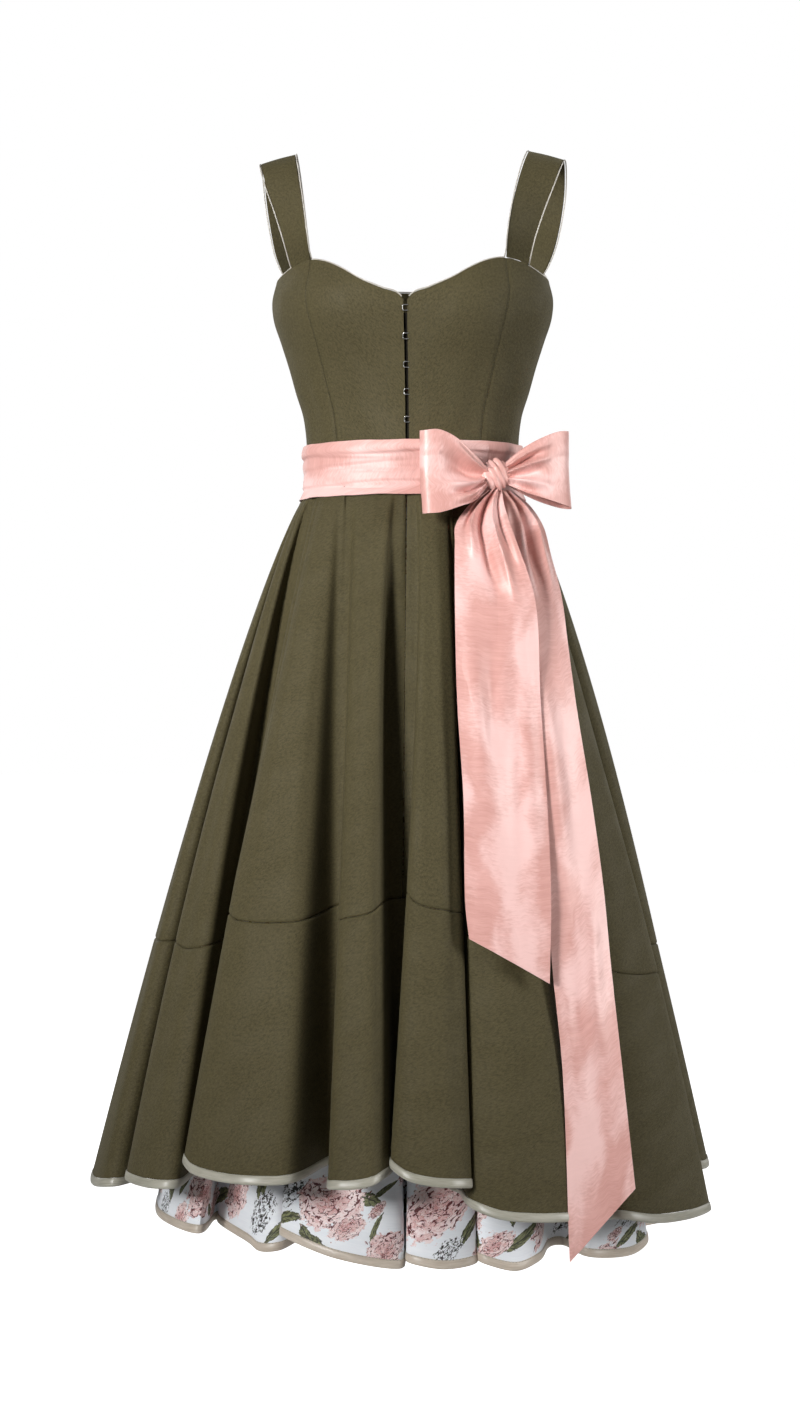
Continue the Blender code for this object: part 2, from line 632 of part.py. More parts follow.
def fold_columns(folds, points, mean_reach):
    """Where each column of a skirt starts at the waist and ends at the hem."""
    columns = []
    for number, fold in enumerate(folds):
        before = folds[number - 1]
        after = folds[(number + 1) % len(folds)]
        turn_back = 360.0 if number == 0 else 0.0
        hollow = (before.hollow - turn_back, fold.hollow)
        waist = (before.waist - turn_back, fold.waist)
        for point in points:
            side = 1 if point.side > 0 else 0
            own_side = (before, fold)[side]
            neighbour = (before, after)[side]
            edge_hem = (fold.left_hem, fold.right_hem)[side]
            reach = mix(own_side.hollow_reach, fold.reach, point.depth_share)
            angle = fold_angle(point, fold, hollow[side], own_side.open, reach)
            hem_z = mix(mix(own_side.hollow_hem, edge_hem, point.to_edge), fold.hem, point.to_ridge)
            gape = -point.side * point.gape_share * own_side.gape
            to_neighbour = abs(point.share - 0.5)
            columns.append(RingColumn(
                mix(waist[0], waist[1], point.share),
                polar(mix(hollow[0], hollow[1], point.share), mean_reach),
                polar(angle, reach),
                hem_z,
                polar(hollow[side] + 90.0, gape),
                mix(fold.flounce, neighbour.flounce, to_neighbour),
            ))
    return columns


def skirt_point(column, share, top_z, waist_inset):
    """A point of the skirt at a share of the way from the waist to the hem."""
    waist = polar(column.waist, 1.0) * (WAIST_HALF_WIDTH - waist_inset, WAIST_DEPTH - waist_inset)
    released = max(0.0, share - STITCHED_SHARE) / (1.0 - STITCHED_SHARE)
    plan = waist + released ** FLARE_POWER * (column.mean - waist)
    plan = plan + released ** FOLD_POWER * (column.hem - column.mean)
    plan = plan + math.sin(math.pi * released ** GAPE_POWER) * column.gape
    return np.array([plan[0], plan[1], mix(top_z, column.hem_z, share)])


def skirt_surface(columns, shares_of, top_z, waist_inset=0.0):
    """Rows of points; shares_of gives a column's shares of the way down."""
    grid = []
    for column in columns:
        grid.append([skirt_point(column, share, top_z, waist_inset) for share in shares_of(column)])
    return np.array(grid).transpose(1, 0, 2)


def share_above_hem(column, top_z, height):
    return 1.0 - height / (top_z - column.hem_z)


def outer_skirt_surface():
    """Rows: the upper skirt's, the flounce's, then the hem's; the seams are shared rows."""
    def shares(column):
        seam = share_above_hem(column, WAIST_Z - SEAM, column.flounce)
        binding = share_above_hem(column, WAIST_Z - SEAM, HEM_BINDING)
        upper = [seam * share for share in UPPER_SHARES]
        return upper + [mix(seam, binding, 0.5), binding, 1.0]
    return skirt_surface(fold_columns(FOLDS, FOLD_POINTS, MEAN_REACH), shares, WAIST_Z - SEAM)


def binding_band(name, outer_rows, inner_rows, finish):
    """The bound edge: the hem's last rows, a little thicker than the cloth that it closes."""
    step = outer_rows - inner_rows
    length = np.linalg.norm(step, axis=2, keepdims=True)
    outer = outer_rows + BINDING_PROUD * step / length
    inner = inner_rows - BINDING_PROUD * step / length
    for grid in (outer, inner):
        drop = grid[1] - grid[0]
        grid[0] += drop * SEAM / np.linalg.norm(drop, axis=1, keepdims=True)
    wall(name, outer, inner, finish, around=True)


def make_outer_skirt():
    outer = outer_skirt_surface()
    inner = moved_out(outer, -TWILL, around=True)
    seam_row = len(UPPER_SHARES) - 1
    upper = slice(0, seam_row + 1)
    lower = slice(seam_row, -1)
    count = outer.shape[1]
    front = FRONT_SEAM_FOLD * POINTS_PER_FOLD
    side = SIDE_SEAM_FOLD * POINTS_PER_FOLD
    around_back = [column % count for column in range(side, count + 1)]
    panel("skirt_front_right", outer[upper], inner[upper], range(0, front + 1), OLIVE_TWILL)
    panel("skirt_front_left", outer[upper], inner[upper], range(front, side + 1), OLIVE_TWILL)
    panel("skirt_back", outer[upper], inner[upper], around_back, OLIVE_TWILL)
    panel("flounce_front", outer[lower], inner[lower], range(0, side + 1), OLIVE_TWILL)
    panel("flounce_back", outer[lower], inner[lower], around_back, OLIVE_TWILL)
    binding_band("hem_binding", outer[-2:], inner[-2:], SILVER_BINDING)


def under_columns():
    points = [point for point in FOLD_POINTS if point.part != "shoulder"]
    return fold_columns(UNDER_FOLDS, points, UNDER_MEAN_REACH)


def make_underskirt():
    def shares(column):
        binding = share_above_hem(column, UNDERSKIRT_TOP_Z, HEM_BINDING)
        return UNDER_SHARES + [binding, 1.0]
    outer = skirt_surface(under_columns(), shares, UNDERSKIRT_TOP_Z, UNDER_WAIST_INSET)
    inner = moved_out(outer, -PRINT_CLOTH, around=True)
    wall("underskirt", outer[:-1], inner[:-1], FLORAL_PRINT, around=True)
    binding_band("underskirt_binding", outer[-2:], inner[-2:], SILVER_BINDING)


# Sash and bow


def make_sash():
    rows = []
    for ring in SASH:
        row = []
        for step in range(SASH_COLUMNS):
            turn = 2.0 * math.pi * step / SASH_COLUMNS
            depth = ring.front if math.cos(turn) > 0.0 else ring.back
            row.append((ring.half_width * math.sin(turn), -depth * math.cos(turn), ring.z))
        rows.append(row)
    outer = np.array(rows)
    wall("sash_band", outer, moved_out(outer, -SATIN, around=True), PINK_SATIN, around=True)


def bow_point(away, out, height, side):
    """From the bow's own directions to the dress: away from the knot, out and up."""
    turn = math.radians(BOW_TURN)
    across = np.array([math.cos(turn), math.sin(turn), 0.0])
    outwards = np.array([math.sin(turn), -math.cos(turn), 0.0])
    lean = BOW_LEAN * max(0.0, -height)
    return np.array(KNOT) + side * away * across + (out + lean) * outwards + np.array([0.0, 0.0, height])


def make_bow_loop(name, sections, side):
    rows = []
    for section in sections:
        heights = [mix(section.top, section.bottom, share) for share in LOOP_ACROSS]
        rows.append([bow_point(section.away, section.out, height, side) for height in heights])
    outer = np.array(rows)
    wall(name, outer, moved_out(outer, side * SATIN, around=False), PINK_SATIN)


def make_knot():
    mesh = bmesh.new()
    bmesh.ops.create_uvsphere(mesh, u_segments=KNOT_SEGMENTS, v_segments=KNOT_RINGS, radius=1.0)
    points = []
    for vertex in mesh.verts:
        x, y, z = vertex.co
        pinch = 1.0 - KNOT_PINCH * math.exp(-((z - KNOT_PINCH_HEIGHT) / KNOT_PINCH_SPREAD) ** 2)
        away = x * KNOT_SIZE[0] * pinch
        out = -y * KNOT_SIZE[1] * pinch
        points.append(bow_point(away, out, z * KNOT_SIZE[2], 1.0))
    faces = [tuple(vertex.index for vertex in face.verts) for face in mesh.faces]
    mesh.free()
    add_solid("bow_knot", points, faces, PINK_SATIN)


def make_tail(name, sections):
    rows = []
    for section in sections:
        left = np.array(section[:3])
        right = np.array(section[3:])
        rows.append([mix(left, right, share) for share in TAIL_ACROSS])
    outer = np.array(rows)
    wall(name, outer, moved_out(outer, -SATIN, around=False), PINK_SATIN)


# Trims


def stood_off(edge, inside, distance):
    """Points moved straight off an edge, away from the cloth behind it."""
    step = edge - inside
    return edge + distance * step / np.linalg.norm(step, axis=1, keepdims=True)


def corner_point(edge, inside_one, inside_other, distance):
    """The same at a corner between two edges."""
    away_one = (edge - inside_one) / np.linalg.norm(edge - inside_one)
    away_other = (edge - inside_other) / np.linalg.norm(edge - inside_other)
    away = away_one + away_other
    return edge + distance * CORNER_STRETCH * away / np.linalg.norm(away)


def make_piping(bodice, strap_left, strap_right, cuts):
    """One cord round the neck opening and one round each armhole."""
    distance = PIPING_RADIUS + 2.0 * SEAM
    edge = bodice[-1]
    below = bodice[-2]
    last = len(edge) - 1
    princess, side, back = cuts
    strap_outer = princess + len(STRAP_FRONT_ANGLES) - 1
    strap_back = side + 1
    strap_back_inner = back - 1

    def along_bodice(start, end):
        return list(stood_off(edge[start:end], below[start:end], distance))

    def along_strap(strap, column):
        return list(stood_off(strap[1:-1, column], strap[1:-1, 1], distance))

    def corner(column, strap, row, strap_column):
        return [corner_point(edge[column], below[column], strap[row, 1], distance)]

    neck = along_bodice(0, princess)
    neck += corner(princess, strap_left, 0, 0) + along_strap(strap_left, 0)
    neck += corner(strap_back_inner, strap_left, -1, 0)
    neck += along_bodice(strap_back_inner + 1, last - strap_back_inner)
    neck += corner(last - strap_back_inner, strap_right, -1, 0) + along_strap(strap_right, 0)[::-1]
    neck += corner(last - princess, strap_right, 0, 0) + along_bodice(last - princess + 1, last + 1)
    tube("neck_piping", neck, PIPING_RADIUS, PIPING_SIDES, PIPING_CORD, closed=False)

    left = corner(strap_outer, strap_left, 0, 2) + along_strap(strap_left, 2)
    left += corner(strap_back, strap_left, -1, 2) + along_bodice(strap_outer + 1, strap_back)[::-1]
    tube("armhole_piping_left", left, PIPING_RADIUS, PIPING_SIDES, PIPING_CORD, closed=True)
    right = np.array(left) * np.array([-1.0, 1.0, 1.0])
    tube("armhole_piping_right", right, PIPING_RADIUS, PIPING_SIDES, PIPING_CORD, closed=True)


def make_hooks():
    seat_angle = math.degrees(math.asin(HOOK_HALF_WIDTH / TORSO[0].half_width))
    for number, z in enumerate(HOOK_HEIGHTS, start=1):
        path = []
        for across, up in HOOK_OUTLINE:
            height = z + up * HOOK_HALF_HEIGHT
            seat = torso_point(seat_angle, height)[1] - HOOK_WIRE - SEAM
            path.append((across * HOOK_HALF_WIDTH, seat, height))
        tube(f"hook_{number}", path, HOOK_WIRE, HOOK_SIDES, HOOK_STEEL, closed=False)


def build_dress():
    clear_scene()
    bodice, cuts = make_bodice()
    make_front_underlap()
    strap_left = make_strap("strap_left", 1.0)
    strap_right = make_strap("strap_right", -1.0)
    make_outer_skirt()
    make_underskirt()
    make_sash()
    make_bow_loop("bow_loop_right", LOOP_TO_RIGHT_SIDE, -1.0)
    make_bow_loop("bow_loop_left", LOOP_TO_LEFT_SIDE, 1.0)
    make_knot()
    make_tail("sash_tail_front", FRONT_TAIL)
    make_tail("sash_tail_side", SIDE_TAIL)
    make_piping(bodice, strap_left, strap_right, cuts)
    make_hooks()


build_dress()
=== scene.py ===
"""Dirndl dress, dressed on its frame: every cut piece as a fine shell of cloth with its creases,
seams, tape, piping, stitches and hooks, and the finish of each cloth.

Metres; +X points to the wearer's left, the front faces -Y and +Z is up. Grids of points run down
the cloth row by row, and their columns run towards the wearer's left across the front.
"""
import math
from collections import namedtuple

import bmesh
import bpy
import numpy as np
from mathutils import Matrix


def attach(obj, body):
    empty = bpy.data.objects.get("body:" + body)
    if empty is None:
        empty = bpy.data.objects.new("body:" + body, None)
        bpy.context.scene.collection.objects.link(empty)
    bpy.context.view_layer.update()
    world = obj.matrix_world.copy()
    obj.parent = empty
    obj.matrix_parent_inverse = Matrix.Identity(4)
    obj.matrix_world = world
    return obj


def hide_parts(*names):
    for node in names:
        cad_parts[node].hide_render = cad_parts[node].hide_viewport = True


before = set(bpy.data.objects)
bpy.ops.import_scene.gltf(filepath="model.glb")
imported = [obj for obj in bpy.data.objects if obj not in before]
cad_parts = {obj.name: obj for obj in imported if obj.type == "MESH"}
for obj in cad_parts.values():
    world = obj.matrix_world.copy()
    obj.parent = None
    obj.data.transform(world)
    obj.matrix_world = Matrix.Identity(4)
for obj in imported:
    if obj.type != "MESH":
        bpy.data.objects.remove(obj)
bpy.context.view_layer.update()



def table(kind, rows):
    """Rows of values under named columns."""
    return [kind(*row) for row in rows]


# Cloth
TWILL = 0.0014
PRINT_CLOTH = 0.0009
SATIN = 0.0009
SEAM_GAP = 0.0003
SEAM_DIP = 0.0007
SEAM_DIP_WIDTH = 0.0022
SHARP_ANGLE = 60.0
TUBE_SIDES = 8
TUBE_START = (0.0, 1.0, 0.02)

# Frame sizes, as in the part
WAIST_Z = -0.355
TOP_OF_SKIRT_Z = WAIST_Z - SEAM_GAP
HEM_BINDING = 0.009
UNDERSKIRT_TOP_Z = -0.3585
FRAME_TWILL = 0.0018
FRAME_THIN = 0.0013

# Camera and studio
IMAGE_HEIGHT = 1422
FOCAL_PIXELS = 2636
SENSOR = 36.0
CAMERA_TURN = 4.0
CAMERA_DISTANCE = 2.9
CAMERA_AIM_Z = -0.610
CAMERA_SIDE = -0.01375
FLOOR_Z = -1.400
FLOOR_RADIUS = 30.0

# Bodice: outer half width, front depth and back depth at each height
TorsoRing = namedtuple("TorsoRing", "z half_width front back")
TORSO = table(TorsoRing, [
    (-0.355, 0.117, 0.088, 0.088),
    (-0.306, 0.1175, 0.089, 0.0885),
    (-0.286, 0.1205, 0.0915, 0.09),
    (-0.262, 0.128, 0.096, 0.093),
    (-0.235, 0.1355, 0.1025, 0.096),
    (-0.205, 0.145, 0.111, 0.099),
    (-0.18, 0.153, 0.116, 0.101),
    (-0.16, 0.1545, 0.115, 0.101),
    (-0.14, 0.15, 0.108, 0.1),
    (-0.115, 0.145, 0.098, 0.098),
])
BUST_RISE = 0.013
BUST_ANGLE = 31.0
BUST_SPREAD = 15.0
BUST_Z = -0.182
BUST_HEIGHT = 0.040
EdgePoint = namedtuple("EdgePoint", "angle z")
UPPER_EDGE = table(EdgePoint, [
    (0.0, -0.1775),
    (2.5, -0.17),
    (9.0, -0.163),
    (19.0, -0.1515),
    (27.0, -0.1395),
    (36.0, -0.1295),
    (46.0, -0.125),
    (53.0, -0.1265),
    (60.0, -0.13),
    (70.0, -0.1355),
    (80.0, -0.1385),
    (92.0, -0.138),
    (102.0, -0.128),
    (115.0, -0.119),
    (128.0, -0.118),
    (140.0, -0.124),
    (153.0, -0.13),
    (167.0, -0.134),
    (180.0, -0.135),
])
FRONT_GAP_HALF = 0.0018
PRINCESS_TOP = 46.0
PRINCESS_WAIST = 41.5
SIDE_ANGLE = 92.0
BACK_SEAM_ANGLE = 140.0
UNDERLAP_ANGLE = 4.0
UNDERLAP_TOP_ANGLE = 1.0
UNDERLAP_TOP_SHARE = 0.915
UNDERLAP_GAP = 0.0010
BODICE_ROWS = 90
BODICE_COLUMN_DEGREES = 1.0

# Shoulder straps: inner and outer edge at each section, front to back, for the wearer's left one
StrapSection = namedtuple("StrapSection", "inner_x inner_y inner_z outer_x outer_y outer_z")
STRAP = table(StrapSection, [
    (0.108, -0.089, -0.1, 0.1345, -0.062, -0.104),
    (0.1125, -0.082, -0.07, 0.1435, -0.058, -0.075),
    (0.1195, -0.062, -0.034, 0.156, -0.049, -0.04),
    (0.1255, -0.035, -0.009, 0.1635, -0.031, -0.017),
    (0.129, -0.002, 0.003, 0.1665, -0.002, -0.007),
    (0.1295, 0.03, -0.006, 0.1675, 0.024, -0.015),
    (0.128, 0.054, -0.031, 0.1665, 0.038, -0.04),
    (0.1245, 0.066, -0.068, 0.161, 0.037, -0.076),
    (0.12, 0.066, -0.1, 0.1535, 0.027, -0.106),
])
STRAP_FRONT_ANGLES = [46.0, 53.0, 60.0]
STRAP_BACK_ANGLES = [128.0, 115.0, 102.0]
STRAP_CROWN = 0.0006

# Skirt folds, from the wearer's right side round the front to the back. Angles are from the centre
# front. Each row: the ridge's angle, half width and reach at the hem, the hem's height at the
# fold's two edges and ridge, then the hollow after it and where that hollow starts at the waist.
# Open is the hollow's half width at its foot, gape how far its edges part half way down the
# skirt, and flounce the height of the lower tier.
Fold = namedtuple("Fold", "crest half reach left_hem hem right_hem hollow hollow_reach hollow_hem waist "
                  "open gape flounce", defaults=(0.001, 0.0))
FOLDS = table(Fold, [
    (-77.0, 11.5, 0.35, -1.117, -1.119, -1.112, -71.0, 0.282, -1.108, -84.0, 0.003, 0.005, 0.261),
    (-53.0, 8.0, 0.338, -1.098, -1.099, -1.097, -52.0, 0.268, -1.094, -62.0, 0.005, 0.01, 0.24),
    (-30.5, 11.5, 0.337, -1.069, -1.079, -1.078, -14.3, 0.242, -1.067, -34.0, 0.009, 0.001, 0.253),
    (-6.3, 5.2, 0.33, -1.081, -1.078, -1.068, 0.9, 0.242, -1.066, 0.0, 0.004, 0.009, 0.262),
    (7.1, 7.0, 0.332, -1.059, -1.074, -1.079, 13.2, 0.244, -1.094, 24.0, 0.006, -0.002, 0.266),
    (24.9, 10.1, 0.338, -1.1, -1.112, -1.118, 45.0, 0.27, -1.137, 47.0, 0.008, 0.003, 0.262),
    (58.0, 15.0, 0.344, -1.12, -1.131, -1.135, 78.0, 0.262, -1.118, 79.0, 0.004, 0.002, 0.247),
    (89.0, 7.5, 0.322, -1.104, -1.104, -1.106, 99.5, 0.25, -1.112, 100.0, 0.004, 0.003, 0.24),
    (111.0, 8.5, 0.336, -1.115, -1.119, -1.12, 122.5, 0.248, -1.121, 122.0, 0.004, 0.003, 0.252),
    (134.0, 9.0, 0.34, -1.12, -1.125, -1.124, 146.0, 0.252, -1.125, 145.0, 0.005, 0.003, 0.256),
    (157.0, 8.5, 0.344, -1.125, -1.127, -1.124, 169.0, 0.246, -1.126, 168.0, 0.004, 0.003, 0.258),
    (180.0, 8.5, 0.34, -1.126, -1.129, -1.127, 191.0, 0.25, -1.127, 192.0, 0.004, 0.003, 0.26),
    (203.0, 9.0, 0.345, -1.125, -1.128, -1.125, 215.5, 0.248, -1.126, 215.0, 0.005, 0.003, 0.26),
    (228.5, 9.5, 0.342, -1.124, -1.126, -1.122, 241.0, 0.252, -1.124, 238.0, 0.004, 0.003, 0.258),
    (254.0, 9.0, 0.34, -1.12, -1.123, -1.12, 266.5, 0.256, -1.118, 258.0, 0.004, 0.003, 0.26),
])
FRONT_SEAM_FOLD = 4
SIDE_SEAM_FOLD = 8
WAIST_HALF_WIDTH = 0.1175
WAIST_DEPTH = 0.0885
MEAN_REACH = 0.292
FLARE_POWER = 0.77
FOLD_POWER = 0.92
STITCHED_SHARE = 0.028
# Underskirt, which has folds of its own and no lower tier
UNDER_WAIST_INSET = 0.0028
UNDER_MEAN_REACH = 0.277
UNDER_FOLDS = table(Fold, [
    (-71.0, 19.0, 0.281, -1.149, -1.153, -1.155, -62.3, 0.226, -1.152, -70.0, 0.003),
    (-36.0, 4.5, 0.245, -1.161, -1.166, -1.164, -29.5, 0.212, -1.157, -46.0, 0.003),
    (-14.3, 15.1, 0.254, -1.146, -1.162, -1.172, 1.8, 0.205, -1.165, 1.0, 0.003),
    (10.9, 7.9, 0.254, -1.166, -1.171, -1.168, 19.6, 0.208, -1.163, 24.0, 0.003),
    (27.0, 6.8, 0.262, -1.167, -1.175, -1.17, 45.0, 0.222, -1.164, 54.0, 0.012),
    (59.0, 12.5, 0.276, -1.17, -1.176, -1.17, 76.0, 0.235, -1.166, 78.0, 0.004),
    (89.0, 5.5, 0.268, -1.166, -1.168, -1.166, 99.5, 0.235, -1.165, 100.0, 0.003),
    (111.0, 6.2, 0.277, -1.166, -1.169, -1.167, 122.5, 0.233, -1.165, 122.0, 0.003),
    (134.0, 6.5, 0.28, -1.167, -1.17, -1.168, 146.0, 0.237, -1.166, 145.0, 0.003),
    (157.0, 6.2, 0.279, -1.168, -1.17, -1.168, 169.0, 0.231, -1.166, 168.0, 0.003),
    (180.0, 6.2, 0.28, -1.168, -1.171, -1.169, 191.0, 0.235, -1.167, 192.0, 0.003),
    (203.0, 6.5, 0.281, -1.168, -1.17, -1.168, 215.5, 0.233, -1.166, 215.0, 0.003),
    (228.5, 6.9, 0.281, -1.166, -1.168, -1.166, 241.0, 0.237, -1.164, 238.0, 0.003),
    (254.0, 6.5, 0.281, -1.162, -1.164, -1.16, 267.5, 0.24, -1.156, 264.0, 0.003),
])

# Points round one fold: share of the way between its hollows, its side of the ridge, the part
# of the fold that it lies on, its share of the fold's depth, how far its hem has gone from the
# hollow's height to the edge's and from there to the ridge's, its share of the gape, and the
# number of columns up to the next point
RingPoint = namedtuple("RingPoint", "share side part depth_share to_edge to_ridge gape_share finer")
FOLD_POINTS = table(RingPoint, [
    (0.0, -1, "hollow", 0.0, 0.0, 0.0, 0.0, 4),
    (0.09, -1, "hollow side", 0.07, 0.2, 0.0, 1.0, 7),
    (0.24, -1, "edge", 0.8, 1.0, 0.0, 1.0, 5),
    (0.37, -1, "shoulder", 0.97, 1.0, 0.6, 0.4, 4),
    (0.5, 0, "ridge", 1.0, 1.0, 1.0, 0.0, 4),
    (0.63, 1, "shoulder", 0.97, 1.0, 0.6, 0.4, 5),
    (0.76, 1, "edge", 0.8, 1.0, 0.0, 1.0, 7),
    (0.91, 1, "hollow side", 0.07, 0.2, 0.0, 1.0, 4),
])
GAPE_POWER = 0.6
# Hollows whose edges part further than this also sink further in, by this many times the excess.
SINKING_GAPE = 0.004
GAPE_SINK = 1.6
SHOULDER_SHARE = 0.62
COLUMNS_PER_FOLD = sum(point.finer for point in FOLD_POINTS)
SKIRT_ROWS = 70
# Finer rows beside the flounce seam, by their distance from it, and the groove that it makes
SEAM_ROWS = (0.0040, 0.0020, 0.0009)
GROOVE_DEPTH = 0.0018
GROOVE_WIDTH = 0.0010
FLOUNCE_ROWS = 34
UNDERSKIRT_ROWS = 56

# Sash band
SashRing = namedtuple("SashRing", "z half_width front back")
SASH = table(SashRing, [
    (-0.3205, 0.1194, 0.0908, 0.0905),
    (-0.329, 0.1212, 0.0928, 0.0922),
    (-0.343, 0.1196, 0.0911, 0.0908),
    (-0.36, 0.12, 0.0916, 0.0912),
    (-0.371, 0.1216, 0.0936, 0.0932),
    (-0.379, 0.1244, 0.0972, 0.0968),
])
SASH_ROWS = 56
SASH_COLUMNS = 420

# Bow and tails
KNOT = (0.0945, -0.0920, -0.3590)
KNOT_SIZE = (0.0110, 0.0090, 0.0165)
BOW_TURN = 22.0
BOW_LEAN = 0.22
LoopSection = namedtuple("LoopSection", "away out top bottom")
LOOP_TO_RIGHT_SIDE = table(LoopSection, [
    (0.0103, 0.003, 0.006, -0.011),
    (0.03, 0.011, 0.021, -0.029),
    (0.05, 0.0145, 0.037, -0.037),
    (0.069, 0.0128, 0.045, -0.043),
    (0.0815, 0.0078, 0.044, -0.044),
    (0.084, 0.001, 0.044, -0.044),
    (0.079, -0.0055, 0.043, -0.043),
    (0.066, -0.007, 0.041, -0.04),
    (0.048, -0.007, 0.034, -0.034),
    (0.029, -0.005, 0.019, -0.026),
    (0.0103, -0.0028, 0.006, -0.01),
])
LOOP_TO_LEFT_SIDE = table(LoopSection, [
    (0.0103, 0.003, 0.013, -0.009),
    (0.03, 0.011, 0.03, -0.019),
    (0.05, 0.0145, 0.041, -0.026),
    (0.067, 0.0128, 0.047, -0.031),
    (0.0785, 0.0078, 0.048, -0.034),
    (0.081, 0.001, 0.048, -0.035),
    (0.076, -0.0055, 0.047, -0.034),
    (0.064, -0.007, 0.045, -0.031),
    (0.048, -0.007, 0.038, -0.026),
    (0.029, -0.005, 0.027, -0.018),
    (0.0103, -0.0028, 0.012, -0.008),
])
TailSection = namedtuple("TailSection", "left_x left_y left_z right_x right_y right_z")
FRONT_TAIL = table(TailSection, [
    (0.084, -0.099, -0.3765, 0.101, -0.091, -0.3765),
    (0.07, -0.106, -0.389, 0.103, -0.0975, -0.389),
    (0.0535, -0.121, -0.414, 0.1105, -0.114, -0.414),
    (0.053, -0.131, -0.435, 0.118, -0.123, -0.434),
    (0.054, -0.153, -0.494, 0.137, -0.14, -0.493),
    (0.058, -0.19, -0.599, 0.144, -0.169, -0.599),
    (0.066, -0.221, -0.701, 0.151, -0.197, -0.701),
    (0.069, -0.25, -0.8, 0.155, -0.234, -0.801),
    (0.0735, -0.261, -0.838, 0.154, -0.255, -0.883),
])
SIDE_TAIL = table(TailSection, [
    (0.0965, -0.0908, -0.376, 0.1105, -0.08, -0.3745),
    (0.0985, -0.088, -0.39, 0.13, -0.064, -0.39),
    (0.096, -0.0985, -0.412, 0.143, -0.052, -0.41),
    (0.097, -0.119, -0.447, 0.153, -0.077, -0.446),
    (0.108, -0.136, -0.49, 0.164, -0.098, -0.489),
    (0.115, -0.152, -0.545, 0.1715, -0.119, -0.545),
    (0.1255, -0.166, -0.599, 0.179, -0.137, -0.599),
    (0.139, -0.191, -0.702, 0.196, -0.164, -0.703),
    (0.149, -0.219, -0.785, 0.207, -0.19, -0.785),
    (0.156, -0.239, -0.867, 0.215, -0.215, -0.867),
    (0.167, -0.258, -0.975, 0.227, -0.24, -0.975),
    (0.174, -0.3012, -1.152, 0.239, -0.275, -1.083),
])
LOOP_ROWS = 90
LOOP_COLUMNS = 44
TAIL_ROWS = 190
TAIL_COLUMNS = 46

# Trims; the hook's outline is in shares of its half width and half height
PIPING_CORD_RADIUS = 0.0007
HOOK_HEIGHTS = [-0.184, -0.213, -0.242, -0.270, -0.299]
HOOK_HALF_WIDTH = 0.0029
HOOK_HALF_HEIGHT = 0.0029
HOOK_WIRE = 0.0005
HOOK_OUTLINE = [(1.0, 1.0), (-0.6, 1.0), (-1.0, 0.55), (-1.0, -0.55), (-0.6, -1.0), (1.0, -1.0)]

# Creases: each runs along its piece from one share of the way across and along to another, with
# its bend, its half width and its rise above the cloth (below it if negative) at both ends and
# in the middle, in metres.
Crease = namedtuple(
    "Crease", "across to_across bend along to_along width to_width rise mid_rise to_rise", defaults=(0.0,))
CREASE_HUMP_POWER = 1.5
RIGHT_LOOP_CREASES = table(Crease, [
    (0.24, 0.06, 0.02, 0.0, 0.34, 0.002, 0.005, 0.0026, 0.0042),
    (0.38, 0.34, 0.02, 0.01, 0.37, 0.003, 0.015, -0.004, -0.0105, -0.002),
    (0.56, 0.66, 0.06, 0.0, 0.36, 0.0018, 0.004, 0.0012, 0.0078),
    (0.64, 0.78, 0.05, 0.0, 0.33, 0.0018, 0.004, -0.0024, -0.007),
    (0.76, 0.9, 0.03, 0.0, 0.36, 0.002, 0.005, 0.001, 0.0058),
    (0.88, 0.98, 0.0, 0.0, 0.26, 0.0018, 0.004, -0.002, -0.003),
    (0.5, 0.45, 0.0, 0.62, 1.0, 0.008, 0.003, 0.0, -0.0031, -0.0016),
])
LEFT_LOOP_CREASES = table(Crease, [
    (0.22, 0.1, 0.02, 0.0, 0.36, 0.002, 0.005, 0.0026, 0.005),
    (0.36, 0.2, -0.02, 0.01, 0.3, 0.0022, 0.006, -0.0036, -0.0072),
    (0.5, 0.34, -0.02, 0.0, 0.34, 0.0018, 0.005, 0.0032, 0.006),
    (0.64, 0.52, 0.0, 0.0, 0.3, 0.0022, 0.007, -0.0034, -0.0064),
    (0.78, 0.76, 0.0, 0.0, 0.34, 0.002, 0.007, 0.0026, 0.005),
    (0.92, 0.9, 0.0, 0.0, 0.3, 0.002, 0.005, -0.0018, -0.0036),
    (0.5, 0.52, 0.0, 0.62, 1.0, 0.008, 0.003, 0.0, -0.0031, -0.0016),
])
FRONT_TAIL_CREASES = table(Crease, [
    (0.1, 0.14, 0.04, 0.0, 0.12, 0.0014, 0.0032, 0.0026, 0.0038),
    (0.22, 0.22, -0.03, 0.0, 0.13, 0.0014, 0.0032, -0.0024, -0.0042),
    (0.34, 0.3, -0.05, 0.0, 0.19, 0.0014, 0.0046, 0.003, 0.005),
    (0.47, 0.56, -0.03, 0.0, 0.27, 0.0016, 0.0085, -0.0034, -0.0094, -0.001),
    (0.64, 0.76, 0.0, 0.0, 0.28, 0.0016, 0.005, 0.003, 0.0052),
    (0.8, 0.88, 0.0, 0.0, 0.22, 0.0016, 0.005, -0.0024, -0.0036),
    (0.16, 0.3, 0.0, 0.26, 0.8, 0.009, 0.015, 0.0, 0.0042),
    (0.46, 0.4, 0.0, 0.3, 0.66, 0.008, 0.011, 0.0, -0.0034),
    (0.72, 0.6, 0.0, 0.3, 0.95, 0.011, 0.016, 0.0, -0.0046),
    (0.97, 0.98, 0.0, 0.2, 0.86, 0.009, 0.01, 0.0, -0.004),
])
